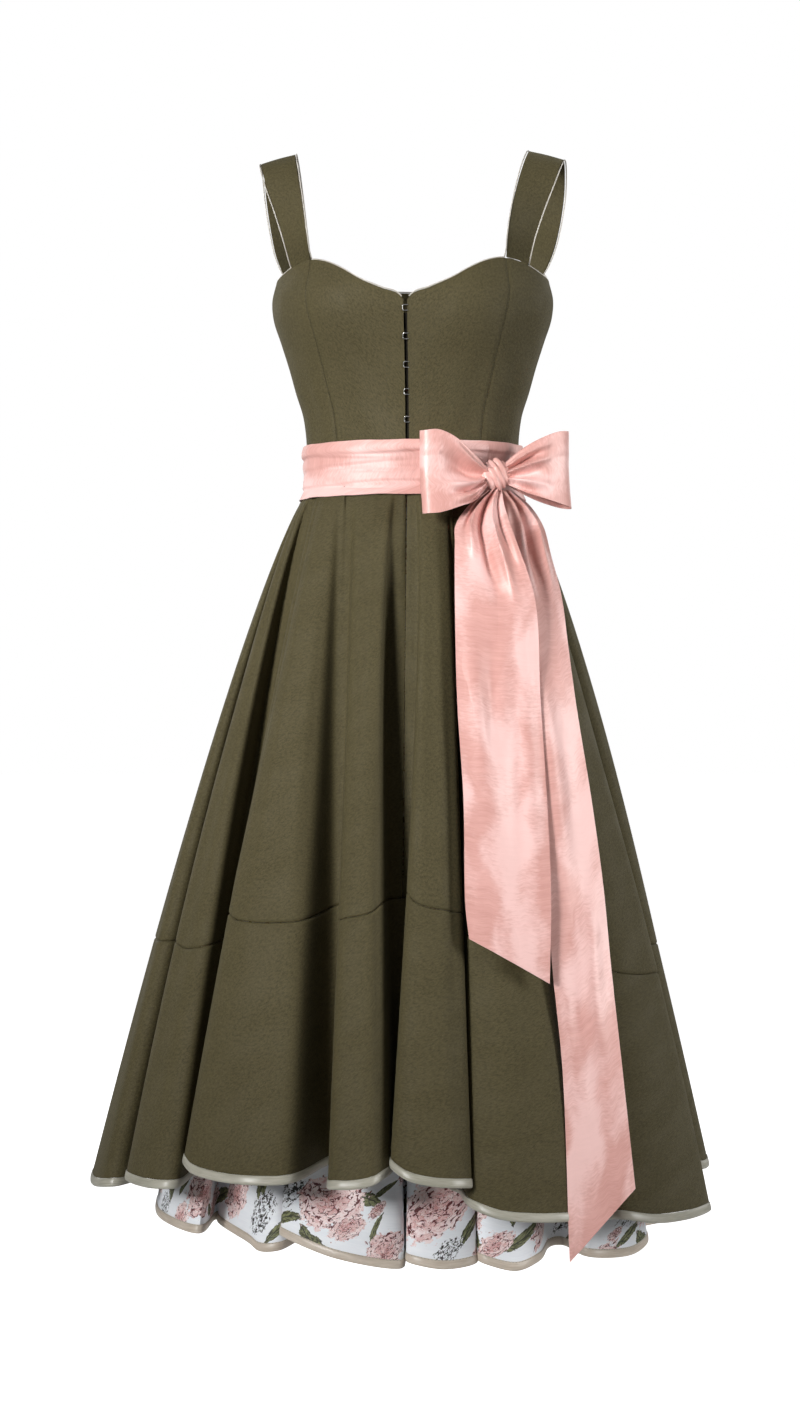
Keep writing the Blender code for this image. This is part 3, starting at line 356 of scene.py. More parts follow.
SIDE_TAIL_CREASES = table(Crease, [
    (0.14, 0.12, 0.0, 0.01, 0.24, 0.002, 0.007, -0.0026, -0.006),
    (0.34, 0.4, 0.06, 0.0, 0.22, 0.0024, 0.008, 0.003, 0.0064),
    (0.52, 0.66, 0.06, 0.0, 0.2, 0.0018, 0.006, -0.003, -0.0066),
    (0.7, 0.84, 0.04, 0.0, 0.2, 0.0018, 0.006, 0.0028, 0.0054),
    (0.34, 0.4, 0.0, 0.18, 0.62, 0.01, 0.014, 0.0, 0.0036),
    (0.74, 0.62, 0.0, 0.3, 0.66, 0.015, 0.019, 0.0, -0.0026),
    (0.8, 0.5, 0.0, 0.56, 0.84, 0.011, 0.014, 0.0, 0.0036),
    (0.3, 0.6, 0.0, 0.62, 0.95, 0.011, 0.014, 0.0, -0.0036),
])


# Curves through points


def mix(start, end, share):
    return start + (end - start) * share


def eased(share):
    """A share that leaves and arrives gently."""
    return 0.5 - 0.5 * np.cos(np.pi * np.clip(share, 0.0, 1.0))


def hermite(values, slopes, knots, at):
    """Cubic pieces through values with given slopes, read at many places."""
    index = np.clip(np.searchsorted(knots, at, side="right") - 1, 0, len(knots) - 2)
    width = (knots[index + 1] - knots[index])[:, None]
    share = np.clip((at - knots[index])[:, None] / width, 0.0, 1.0)
    start = (1.0 + 2.0 * share) * (1.0 - share) ** 2 * values[index]
    leave = share * (1.0 - share) ** 2 * width * slopes[index]
    end = share * share * (3.0 - 2.0 * share) * values[index + 1]
    arrive = share * share * (share - 1.0) * width * slopes[index + 1]
    return start + leave + end + arrive


def curve_through(points, knots, at, around=False):
    """Smooth curve through points. A closed curve has one more knot, where it meets its start."""
    points = np.asarray(points, float)
    knots = np.asarray(knots, float)
    flat = points.reshape(len(points), -1)
    if around:
        period = knots[-1]
        flat = np.concatenate([flat[-2:], flat, flat[:3]])
        knots = np.concatenate([knots[-3:-1] - period, knots[:-1], knots[:3] + period])
    steps = np.diff(knots)[:, None]
    rates = np.diff(flat, axis=0) / steps
    slopes = np.empty_like(flat)
    slopes[1:-1] = (rates[:-1] * steps[1:] + rates[1:] * steps[:-1]) / (steps[1:] + steps[:-1])
    slopes[0] = rates[0]
    slopes[-1] = rates[-1]
    return hermite(flat, slopes, knots, np.asarray(at, float)).reshape(-1, *points.shape[1:])


def spaced_knots(points, around=False):
    """Knots whose spacing keeps a curve from looping between close points."""
    points = np.asarray(points, float)
    if around:
        points = np.concatenate([points, points[:1]])
    steps = np.linalg.norm(np.diff(points, axis=0), axis=1)
    return np.concatenate([[0.0], np.cumsum(np.sqrt(steps))])


def refined(grid, rows, columns):
    """The surface through an open grid of points, with more rows and columns."""
    grid = np.asarray(grid, float)
    knots = spaced_knots(grid[:, grid.shape[1] // 2])
    grid = curve_through(grid, knots, np.linspace(0.0, knots[-1], rows))
    grid = grid.transpose(1, 0, 2)
    grid = curve_through(grid, np.arange(len(grid)), np.linspace(0.0, len(grid) - 1.0, columns))
    return grid.transpose(1, 0, 2)


# Cloth


def normals_of(grid, around=False):
    """Unit normals of a grid, outwards where rows run down and columns run to the wearer's left."""
    if around:
        wide = np.concatenate([grid[:, -1:], grid, grid[:, :1]], axis=1)
        across = (wide[:, 2:] - wide[:, :-2])
    else:
        across = np.gradient(grid, axis=1)
    along = np.gradient(grid, axis=0)
    normals = np.cross(along, across)
    return normals / np.linalg.norm(normals, axis=2, keepdims=True)


def lifted(grid, height, around=False, out=1.0):
    """Move a surface along its normals; height is one number, or one for each point."""
    height = np.asarray(height, float)
    if height.ndim:
        height = height[:, :, None]
    return grid + out * height * normals_of(grid, around)


def cloth_lengths(grid):
    """Length across and down the cloth at each point, in metres."""
    across = np.linalg.norm(np.diff(grid, axis=1), axis=2)
    across = np.concatenate([np.zeros((len(grid), 1)), np.cumsum(across, axis=1)], axis=1)
    along = np.linalg.norm(np.diff(grid, axis=0), axis=2)
    along = np.concatenate([np.zeros((1, grid.shape[1])), np.cumsum(along, axis=0)], axis=0)
    return across, along


def crease_rise(crease, way, away, power):
    """Rise of one crease at shares of the way along it and distances from its middle."""
    share = np.clip(way, 0.0, 1.0)
    rise = mix(crease.rise, crease.to_rise, eased(share))
    rise = rise + crease.mid_rise * (4.0 * share * (1.0 - share)) ** power
    spread = away / mix(crease.width, crease.to_width, share)
    return np.where(way == share, rise * np.exp(-spread ** 2), 0.0)


def crease_heights(grid, creases):
    """Rise of the listed creases at each point of a piece."""
    across, along = cloth_lengths(grid)
    width = across[:, -1:]
    height = np.zeros(grid.shape[:2])
    for crease in creases:
        way = (along / along[-1:] - crease.along) / (crease.to_along - crease.along)
        share = np.clip(way, 0.0, 1.0)
        centre = mix(crease.across, crease.to_across, share) + crease.bend * 4.0 * share * (1.0 - share)
        height += crease_rise(crease, way, across - centre * width, CREASE_HUMP_POWER)
    return height


def edge_dip(grid, left=True, right=True):
    """How far a piece sinks towards the seams that join it to its neighbours."""
    across, _ = cloth_lengths(grid)
    dip = np.zeros(grid.shape[:2])
    if left:
        dip += np.exp(-(across / SEAM_DIP_WIDTH) ** 2)
    if right:
        dip += np.exp(-((across[:, -1:] - across) / SEAM_DIP_WIDTH) ** 2)
    return -SEAM_DIP * dip


def grid_faces(rows, columns, width, around):
    """Corner numbers of every cell, in a grid of points that is `width` points wide."""
    last = columns if around else columns - 1
    row, column = np.meshgrid(np.arange(rows - 1), np.arange(last), indexing="ij")
    following = (column + 1) % width if around else column + 1
    cells = [row * width + column, row * width + following]
    cells += [(row + 1) * width + following, (row + 1) * width + column]
    return np.stack(cells, axis=-1).reshape(-1, 4)


def make_shell(name, grid, thickness, finish, around=False, out=1.0, under=None):
    """A thin closed wall of cloth under a grid of points, with the cloth's own lengths as its map.

    under gives the points the inner side is made from, where they are not the outer ones.
    """
    rows, columns = grid.shape[:2]
    count = rows * columns
    inner = lifted(grid if under is None else under, -thickness, around, out)
    points = np.concatenate([grid.reshape(-1, 3), inner.reshape(-1, 3)])
    mapped = np.concatenate([grid, grid[:, :1]], axis=1) if around else grid
    across, along = cloth_lengths(mapped)
    lengths = np.stack([across, along], axis=-1).reshape(-1, 2)
    outer_faces = grid_faces(rows, columns, columns, around)
    outer_map = grid_faces(rows, mapped.shape[1], mapped.shape[1], False)
    faces = [outer_faces, outer_faces[:, ::-1] + count]
    maps = [outer_map, outer_map[:, ::-1]]
    numbers = np.arange(count).reshape(rows, columns)
    map_numbers = np.arange(len(lengths)).reshape(rows, -1)
    edges = [(numbers[0], map_numbers[0]), (numbers[-1], map_numbers[-1])]
    if around:
        edges = [(np.append(edge, edge[0]), edge_map) for edge, edge_map in edges]
    else:
        edges += [(numbers[:, 0], map_numbers[:, 0]), (numbers[:, -1], map_numbers[:, -1])]
    for edge, edge_map in edges:
        faces.append(np.stack([edge[:-1], edge[1:], edge[1:] + count, edge[:-1] + count], axis=-1))
        maps.append(np.stack([edge_map[:-1], edge_map[1:], edge_map[1:], edge_map[:-1]], axis=-1))
    return add_mesh(name, points, np.concatenate(faces).tolist(), finish, lengths[np.concatenate(maps)])


def placed(name, data):
    """Put new data into the scene as an object."""
    holder = bpy.data.objects.new(name, data)
    bpy.context.scene.collection.objects.link(holder)
    return holder


def add_mesh(name, points, faces, finish, lengths=None, sharp_angle=SHARP_ANGLE):
    """Make one object; lengths gives each face corner's place on the flat cloth."""
    mesh = bpy.data.meshes.new(name)
    mesh.from_pydata(np.asarray(points).tolist(), [], faces)
    if lengths is not None:
        layer = mesh.uv_layers.new(name="cloth")
        layer.uv.foreach_set("vector", np.ascontiguousarray(lengths, np.float32).reshape(-1))
    body = bmesh.new()
    body.from_mesh(mesh)
    bmesh.ops.recalc_face_normals(body, faces=body.faces)
    body.to_mesh(mesh)
    body.free()
    mesh.shade_smooth()
    mesh.set_sharp_from_angle(angle=math.radians(sharp_angle))
    mesh.materials.append(finish)
    piece = placed(name, mesh)
    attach(piece, "root")
    return piece


def make_tube(name, path, radius, finish, closed=False):
    """A round cord or wire along a path."""
    sides = TUBE_SIDES
    path = np.asarray(path, float)
    count = len(path)
    if closed:
        along = np.roll(path, -1, axis=0) - np.roll(path, 1, axis=0)
    else:
        along = np.gradient(path, axis=0)
    along /= np.linalg.norm(along, axis=1, keepdims=True)
    side = np.cross(along[0], TUBE_START)
    points = []
    for centre, direction in zip(path, along):
        side = side - direction * np.dot(side, direction)
        side /= np.linalg.norm(side)
        lift = np.cross(direction, side)
        for step in range(sides):
            turn = 2.0 * math.pi * (step + 0.5) / sides
            points.append(centre + radius * (math.cos(turn) * side + math.sin(turn) * lift))
    twist = 0
    if closed:
        first = np.asarray(points[:sides])
        last = np.asarray(points[-sides:])
        gaps = [np.linalg.norm(last - np.roll(first, -step, axis=0)) for step in range(sides)]
        twist = int(np.argmin(gaps))
    faces = []
    for ring in range(count if closed else count - 1):
        near = ring * sides
        far = (ring + 1) % count * sides
        shift = twist if closed and ring == count - 1 else 0
        for step in range(sides):
            following = step + 1
            faces.append((near + step, near + following % sides,
                          far + (following + shift) % sides, far + (step + shift) % sides))
    if not closed:
        faces.append(tuple(range(sides))[::-1])
        faces.append(tuple(range(len(points) - sides, len(points))))
    return add_mesh(name, points, faces, finish)


def stands_for(node):
    """Hide the solid that a piece stands for."""
    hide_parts(node)


# Cut: the cloth's greatest width and its length, and its area, worked out on the flat
Cut = namedtuple("Cut", "width length area")


def dressed(node):
    """Hide the solid that a cloth piece stands for."""
    stands_for(node)


Cloth = namedtuple("Cloth", "thickness finish slot")


def make_cloth(node, grid, cloth, held, cut, **shape):
    """One piece of cloth in place of its solid; shape says how its shell is made."""
    piece = make_shell(node + "_cloth", grid, cloth.thickness, cloth.finish, **shape)
    dressed(node)


# Shader building


class Field:
    """A number, vector or colour that changes over the surface, so that sums are written as sums."""

    def __init__(self, socket):
        self.socket = socket
        self.tree = socket.id_data

    def __add__(self, other):
        return maths("ADD", self, other)

    def __sub__(self, other):
        return maths("SUBTRACT", self, other)

    def __rsub__(self, other):
        return maths("SUBTRACT", other, self)

    def __mul__(self, other):
        return maths("MULTIPLY", self, other)

    def __truediv__(self, other):
        return maths("DIVIDE", self, other)

    def __abs__(self):
        return maths("ABSOLUTE", self)


def put(socket, value):
    """Give an input a value, or link it to a field."""
    if isinstance(value, Field):
        value.tree.links.new(value.socket, socket)
    else:
        socket.default_value = value


def set_inputs(node, **values):
    """Give a node's inputs their values or fields; underscores in the names stand for spaces."""
    for name, value in values.items():
        put(node.inputs[name.replace("_", " ")], value)


def new_node(kind, *values):
    """A node in the tree that holds the first field among some values."""
    tree = next(value.tree for value in values if isinstance(value, Field))
    return tree.nodes.new("ShaderNode" + kind)


def worked_out(kind, operation, result, values):
    """One result of a node that works on some values."""
    node = new_node(kind, *values)
    node.operation = operation
    for socket, value in zip(node.inputs, values):
        put(socket, value)
    return Field(node.outputs[result])


def maths(operation, *values):
    return worked_out("Math", operation, "Value", values)


def vector_maths(operation, *values):
    return worked_out("VectorMath", operation, "Value" if operation == "LENGTH" else "Vector", values)


MixSockets = namedtuple("MixSockets", "first second result")
MIX_SOCKETS = {"VECTOR": MixSockets(4, 5, 1), "RGBA": MixSockets(6, 7, 2)}


def mixed(share, first, second, kind="RGBA", blend="MIX"):
    """Mix two colours or two vectors."""
    node = new_node("Mix", share, first, second)
    node.data_type = kind
    node.blend_type = blend
    sockets = MIX_SOCKETS[kind]
    put(node.inputs[0], share)
    put(node.inputs[sockets.first], first)
    put(node.inputs[sockets.second], second)
    return Field(node.outputs[sockets.result])


def fitted(value, low, high, to_low=0.0, to_high=1.0):
    """Fit a value from one range to another, with gentle ends."""
    node = new_node("MapRange", value)
    node.interpolation_type = "SMOOTHSTEP"
    set_inputs(node, Value=value, From_Min=low, From_Max=high, To_Min=to_low, To_Max=to_high)
    return Field(node.outputs["Result"])


def joined(x, y, z=0.0):
    """A vector from its three numbers."""
    node = new_node("CombineXYZ", x, y)
    set_inputs(node, X=x, Y=y, Z=z)
    return Field(node.outputs["Vector"])


def parts(vector):
    """The three numbers of a vector."""
    node = new_node("SeparateXYZ", vector)
    put(node.inputs[0], vector)
    return [Field(node.outputs[axis]) for axis in "XYZ"]


Grain = namedtuple("Grain", "scale detail roughness", defaults=(2.0, 0.5))


def noise(place, grain):
    node = new_node("TexNoise", place)
    set_inputs(node, Vector=place, Scale=grain.scale, Detail=grain.detail, Roughness=grain.roughness)
    return Field(node.outputs["Fac"])


def cells(place, feature, result):
    """One measure of irregular cells that are a unit wide."""
    node = new_node("TexVoronoi", place)
    node.feature = feature
    set_inputs(node, Vector=place, Scale=1.0)
    return Field(node.outputs[result])


def waves(place, pitch, count=1.0):
    """Ribs that rise from 0 to 1 along a place, so many of them a pitch."""
    return maths("SINE", place * (2.0 * math.pi * count) / pitch) * 0.5 + 0.5


def bumped(height, distance, strength, under=None):
    node = new_node("Bump", height)
    set_inputs(node, Height=height, Distance=distance, Strength=strength)
    if under:
        put(node.inputs["Normal"], under)
    return Field(node.outputs["Normal"])


NO_VECTOR = (0.0, 0.0, 0.0)
SOCKET_KINDS = {3: "NodeSocketVector", 4: "NodeSocketColor"}


def new_group(name, inputs, outputs):
    """A shader node group: its inputs as fields, and the node that takes its outputs.

    Three numbers make a vector socket, four a colour socket and one a plain socket.
    """
    tree = bpy.data.node_groups.new(name, "ShaderNodeTree")
    for in_out, sockets in (("INPUT", inputs), ("OUTPUT", outputs)):
        for label, value in sockets.items():
            kind = SOCKET_KINDS[len(value)] if isinstance(value, tuple) else "NodeSocketFloat"
            socket = tree.interface.new_socket(label, in_out=in_out, socket_type=kind)
            socket.default_value = value
    given = tree.nodes.new("NodeGroupInput").outputs
    return {label: Field(given[label]) for label in inputs}, tree.nodes.new("NodeGroupOutput")


def use_group(group, **values):
    """Place a group where its first field lies, and give its outputs."""
    node = new_node("Group", *values.values())
    node.node_tree = group
    set_inputs(node, **values)
    return {output.name: Field(output) for output in node.outputs}


def new_finish(name):
    """An empty material, its Principled shader and the map of the cloth's own lengths."""
    material = bpy.data.materials.new(name)
    material.use_nodes = True
    nodes = material.node_tree.nodes
    cloth = nodes.new("ShaderNodeUVMap")
    cloth.uv_map = "cloth"
    return material, nodes["Principled BSDF"], Field(cloth.outputs["UV"])


def plain_place(material):
    """Places on a piece that has no map of its own, in metres."""
    return Field(material.node_tree.nodes.new("ShaderNodeTexCoord").outputs["Object"])


def camera_ray(tree):
    """1 where the camera sees a surface or the surroundings directly, else 0."""
    return Field(tree.nodes.new("ShaderNodeLightPath").outputs["Is Camera Ray"])


# Weaves. The scale of a grain is in grains a metre of cloth.

WHITE = (1.0, 1.0, 1.0, 1.0)
GREY = (0.5, 0.5, 0.5, 1.0)
WOVEN = {"Colour": WHITE, "Height": 0.0, "Roughness": 0.0}
TWILL_SLOPE = 1.6
TWILL_FIBRE_STRETCH = 2.2
TWILL_WANDER = Grain(160.0)
TWILL_FIBRE = Grain(520.0, 3.0, 0.7)
TWILL_GRAIN = Grain(330.0, 3.0, 0.8)
TWILL_SHADE = Grain(22.0, 3.0, 0.55)
SATIN_DRAWING = 0.08
SATIN_SLUB = Grain(900.0, 2.0, 0.6)
SATIN_WIDE_SLUB = Grain(220.0, 2.0, 0.6)
SATIN_SHADE = Grain(18.0, 3.0)
CRUMPLE_WANDER = Grain(12.0)
CRUMPLE_BEND = 0.05
CRUMPLE_LENGTHENING = 0.42
CRUMPLE_RIDGE = Grain(24.0, 1.5, 0.4)
CRUMPLE_SMALL_RIDGE = Grain(60.0, 1.5, 0.4)
# Patches of painted sheen on crumpled satin, and the fine grain that breaks their edges
PAINTED_SHEEN_PATCH = Grain(19.0, 2.5)
PAINTED_SHEEN_GRAIN = Grain(420.0, 2.0, 0.7)


def twill_group():
    """Fine diagonal ribs of a twill, with flecks of lighter fibre and slow changes of shade."""
    given, made = new_group("twill weave", {
        "Cloth": NO_VECTOR, "Rib Pitch": 0.0009, "Light": GREY, "Dark": GREY, "Fleck": WHITE}, WOVEN)
    cloth = given["Cloth"]
    pitch = given["Rib Pitch"]
    across, along, _ = parts(cloth)
    slant = along * TWILL_SLOPE + across + noise(cloth, TWILL_WANDER) * pitch
    weave = waves(along, pitch, 2.0) * 0.3 + waves(slant, pitch) * 0.7
    fibre = fitted(noise(joined(across * TWILL_FIBRE_STRETCH, along), TWILL_FIBRE), 0.52, 0.74)
    shade = noise(cloth, TWILL_SHADE)
    tone = fitted(noise(cloth, TWILL_GRAIN), 0.30, 0.70) * 0.45 + (shade * 0.20 + weave * 0.40)
    colour = mixed(fitted(tone, 0.15, 0.85), given["Dark"], given["Light"])
    set_inputs(made, Colour=mixed(fibre * 0.55, colour, given["Fleck"]), Height=fibre * 0.35 + weave,
               Roughness=fitted(shade, 0.3, 0.7, 0.80, 0.66))
    return made.id_data


def satin_group():
    """Close ribs across a satin, its uneven slubs and a slow change of shade."""
    given, made = new_group("ribbed satin", {
        "Cloth": NO_VECTOR, "Rib Pitch": 0.0006, "Light": WHITE, "Dark": GREY,
        "Sheen Low": 0.30, "Sheen High": 0.42}, WOVEN)
    cloth = given["Cloth"]
    across, along, _ = parts(cloth)
    drawn = joined(across * SATIN_DRAWING, along)
    slub = noise(drawn, SATIN_SLUB)
    tone = noise(cloth, SATIN_SHADE) * 0.30 + (slub * 0.35 + noise(drawn, SATIN_WIDE_SLUB) * 0.35)
    set_inputs(made, Colour=mixed(fitted(tone, 0.30, 0.70), given["Dark"], given["Light"]),
               Height=slub * 0.6 + waves(along, given["Rib Pitch"]) * 0.4,
               Roughness=tone * (given["Sheen High"] - given["Sheen Low"]) + given["Sheen Low"])
    return made.id_data


def crumple_group():
    """Soft crumples of a pressed satin, longer along the cloth than across it, and patches of painted
    sheen that lighten its colour.
    """
    given, made = new_group("soft crumple and painted sheen", {"Cloth": NO_VECTOR}, {"Height": 0.0, "Shade": 0.0})
    across, along, _ = parts(given["Cloth"])
    bent = noise(given["Cloth"], CRUMPLE_WANDER) * CRUMPLE_BEND + across
    place = joined(bent, along * CRUMPLE_LENGTHENING)
    ridge = abs(noise(place, CRUMPLE_RIDGE) * 2.0 - 1.0)
    small = abs(noise(place, CRUMPLE_SMALL_RIDGE) * 2.0 - 1.0)
    # Painted sheen: soft patches, broken by a fine grain, by which the satin's colour is lightened
    grain = noise(joined(across * 0.30, along), PAINTED_SHEEN_GRAIN) - 0.5
    set_inputs(made, Height=small * 0.22 + ridge,
               Shade=fitted(grain * 0.22 + noise(place, PAINTED_SHEEN_PATCH), 0.42, 0.60))
    return made.id_data


TWILL_GROUP = twill_group()
SATIN_GROUP = satin_group()
CRUMPLE_GROUP = crumple_group()

# Finishes. Low and high are the two ends of a satin's roughness.
Twill = namedtuple("Twill", "light dark fleck")
OLIVE = Twill((0.091, 0.075, 0.0325, 1.0), (0.043, 0.035, 0.0145, 1.0), (0.150, 0.127, 0.070, 1.0))
TWILL_BUMP = 0.00010
TWILL_SHEEN = (0.55, 0.52, 0.38, 1.0)
Satin = namedtuple("Satin", "light dark low high pitch specular", defaults=(0.5,))
PINK = Satin((0.72, 0.395, 0.355, 1.0), (0.58, 0.290, 0.250, 1.0), 0.38, 0.48, 0.0006, 0.6)
BAND_PINK = PINK._replace(low=0.54, high=0.62)
SILVER = Satin((0.47, 0.45, 0.38, 1.0), (0.29, 0.28, 0.22, 1.0), 0.28, 0.40, 0.0005)
CHAMPAGNE = Satin((0.68, 0.60, 0.51, 1.0), (0.48, 0.40, 0.32, 1.0), 0.28, 0.40, 0.0005)
CORD = Satin((0.60, 0.56, 0.50, 1.0), (0.42, 0.39, 0.34, 1.0), 0.28, 0.40, 0.0008)
OLIVE_THREAD = Satin((0.075, 0.068, 0.036, 1.0), (0.045, 0.040, 0.022, 1.0), 0.45, 0.60, 0.0004, 0.3)
PALE_THREAD = Satin((0.42, 0.40, 0.34, 1.0), (0.26, 0.25, 0.20, 1.0), 0.45, 0.60, 0.0004, 0.3)
PRINT_COTTON = Satin(WHITE, (0.90, 0.91, 0.93, 1.0), 0.50, 0.62, 0.0005, 0.35)
SATIN_BUMP = 0.00006
CRUMPLE_BUMP = 0.0030
# Painted sheen: the paler pink that crumpled satin is lightened towards in patches, and how far at most
PAINTED_SHEEN_PINK = (0.94, 0.65, 0.62, 1.0)
PAINTED_SHEEN_SHARE = 0.65
GLOSS_PINK = (1.0, 0.82, 0.78, 1.0)
STEEL_LIGHT = (0.75, 0.75, 0.74, 1.0)
STEEL_DARK = (0.55, 0.55, 0.54, 1.0)
STEEL_WEAR = Grain(900.0, 3.0)
# Near-black colours of the front underlap: painted shade of the narrow gap between the bodice's front
# edges, over a fibre grain
PAINTED_SHADE_DARK = (0.010, 0.008, 0.006, 1.0)
PAINTED_SHADE_LIGHT = (0.020, 0.017, 0.012, 1.0)
FACING_FIBRE = Grain(700.0, 3.0)
FACING_BUMP = 0.00008


def twill_finish(name, twill):
    material, shader, cloth = new_finish(name)
    weave = use_group(TWILL_GROUP, Cloth=cloth, Light=twill.light, Dark=twill.dark, Fleck=twill.fleck)
    set_inputs(shader, Base_Color=weave["Colour"], Roughness=weave["Roughness"],
               Normal=bumped(weave["Height"], TWILL_BUMP, 0.6), Specular_IOR_Level=0.25,
               Sheen_Weight=0.12, Sheen_Roughness=0.45, Sheen_Tint=TWILL_SHEEN)
    return material


def satin_weave(satin, cloth):
    """The ribbed satin's colour, height and roughness, in one satin's own colours."""
    return use_group(SATIN_GROUP, Cloth=cloth, Light=satin.light, Dark=satin.dark,
                     Sheen_Low=satin.low, Sheen_High=satin.high, Rib_Pitch=satin.pitch)


def satin_finish(name, satin, crumpled=False, turned=False):
    """Satin. Crumpled, it has a crumpled bump and patches of painted sheen in its colour; turned, its ribs
    run down the piece.
    """
    material, shader, cloth = new_finish(name)
    if turned:
        across, along, _ = parts(cloth)
        cloth = joined(along, across)
    weave = satin_weave(satin, cloth)
    colour = weave["Colour"]
    under = None
    if crumpled:
        fall = use_group(CRUMPLE_GROUP, Cloth=cloth)
        under = bumped(fall["Height"], CRUMPLE_BUMP, 0.55)
        # Painted sheen: the colour is lightened towards a paler pink in the crumples' patches
        colour = mixed(fall["Shade"] * PAINTED_SHEEN_SHARE, colour, PAINTED_SHEEN_PINK)
        set_inputs(shader, IOR=1.65, Specular_Tint=GLOSS_PINK)
    set_inputs(shader, Base_Color=colour, Roughness=weave["Roughness"],
               Normal=bumped(weave["Height"], SATIN_BUMP, 0.5, under),
               Specular_IOR_Level=satin.specular, Sheen_Weight=0.10, Sheen_Roughness=0.35)
    return material


def wire_finish(name):
    material, shader, _ = new_finish(name)
    worn = noise(plain_place(material), STEEL_WEAR)
    set_inputs(shader, Base_Color=mixed(worn, STEEL_LIGHT, STEEL_DARK), Metallic=1.0,
               Roughness=fitted(worn, 0.3, 0.7, 0.18, 0.32))
    return material


# Near-black cloth for the front underlap, whose colour is painted shade of the gap it shows through
def shade_painted_finish(name):
    material, shader, cloth = new_finish(name)
    fibre = noise(cloth, FACING_FIBRE)
    set_inputs(shader, Base_Color=mixed(fibre, PAINTED_SHADE_DARK, PAINTED_SHADE_LIGHT), Roughness=0.90,
               Normal=bumped(fibre, FACING_BUMP, 0.5), Specular_IOR_Level=0.15)
    return material


# Printed flowers and leaves of the underskirt, in metres on the cloth from the lower left corner
# of one repeat. Turn is in degrees.
REPEAT_WIDTH = 0.300
REPEAT_HEIGHT = 0.230
HALF_DROP = 0.115
Motif = namedtuple("Motif", "across up size turn stretch")
BIG_FLOWERS = table(Motif, [
    (0.045, 0.05, 0.036, 20.0, 1.0),
    (0.158, 0.032, 0.026, 140.0, 0.9),
    (0.131, 0.004, 0.015, 60.0, 0.9),
    (0.272, 0.032, 0.026, 200.0, 1.0),
    (0.168, 0.16, 0.034, 250.0, 1.0),
    (0.249, 0.124, 0.021, 310.0, 0.9),
    (0.21, 0.012, 0.018, 80.0, 0.85),
    (0.198, 0.14, 0.018, 30.0, 0.85),
    (0.11, 0.1, 0.022, 100.0, 0.9),
    (0.245, 0.205, 0.024, 330.0, 0.9),
    (0.06, 0.195, 0.026, 170.0, 0.95),
])
BUDS = table(Motif, [
    (0.217, 0.162, 0.01, 80.0, 0.6),
    (0.232, 0.104, 0.007, 60.0, 0.6),
    (0.108, 0.13, 0.01, 30.0, 0.62),
    (0.19, 0.085, 0.012, 100.0, 0.6),
    (0.02, 0.108, 0.011, 150.0, 0.62),
    (0.13, 0.216, 0.012, 20.0, 0.6),
])
LEAVES = table(Motif, [
    (0.097, 0.03, 0.02, 80.0, 0.4),
    (0.234, 0.022, 0.026, 30.0, 0.36),
    (0.204, 0.046, 0.014, 120.0, 0.3),
    (0.222, 0.052, 0.013, 60.0, 0.26),
    (0.058, 0.128, 0.018, 40.0, 0.42),
    (0.226, 0.144, 0.018, 100.0, 0.2),
    (0.212, 0.182, 0.016, 60.0, 0.24),
    (0.134, 0.128, 0.02, 30.0, 0.38),
    (0.202, 0.172, 0.018, 350.0, 0.4),
    (0.17, 0.116, 0.021, 160.0, 0.38),
    (0.096, 0.062, 0.019, 110.0, 0.3),
    (0.186, 0.01, 0.016, 150.0, 0.38),
    (0.242, 0.06, 0.021, 75.0, 0.4),
    (0.124, 0.042, 0.018, 60.0, 0.34),
    (0.014, 0.088, 0.019, 20.0, 0.4),
    (0.076, 0.09, 0.019, 140.0, 0.38),
    (0.148, 0.076, 0.021, 10.0, 0.38),
    (0.224, 0.09, 0.018, 160.0, 0.36),
    (0.018, 0.168, 0.019, 100.0, 0.34),
    (0.092, 0.168, 0.019, 50.0, 0.4),
    (0.284, 0.16, 0.019, 120.0, 0.4),
    (0.1, 0.208, 0.019, 10.0, 0.36),
    (0.186, 0.206, 0.021, 70.0, 0.4),
    (0.284, 0.08, 0.017, 45.0, 0.38),
])
LINE_FLOWERS = table(Motif, [
    (0.03, 0.144, 0.015, 0.0, 1.6),
    (0.12, 0.154, 0.02, 50.0, 0.9),
    (0.086, 0.008, 0.014, 110.0, 0.9),
    (0.276, 0.192, 0.018, 200.0, 0.9),
])
PRINT_SHIFT = -0.060
PRINT_WOBBLE = Grain(60.0)
PRINT_WOBBLE_WIDTH = 0.006
PRINT_BUMP = 0.00005
MOTIF_STEP = 3.7
PRINT_GROUND = (0.90, 0.92, 0.95, 1.0)
PRINT_LINE = (0.135, 0.030, 0.032, 1.0)
PETAL_LIGHT = (0.96, 0.82, 0.80, 1.0)
PETAL_DARK = (0.62, 0.27, 0.25, 1.0)
LEAF_LIGHT = (0.26, 0.27, 0.13, 1.0)
LEAF_DARK = (0.055, 0.060, 0.025, 1.0)
INK = (0.035, 0.032, 0.030, 1.0)


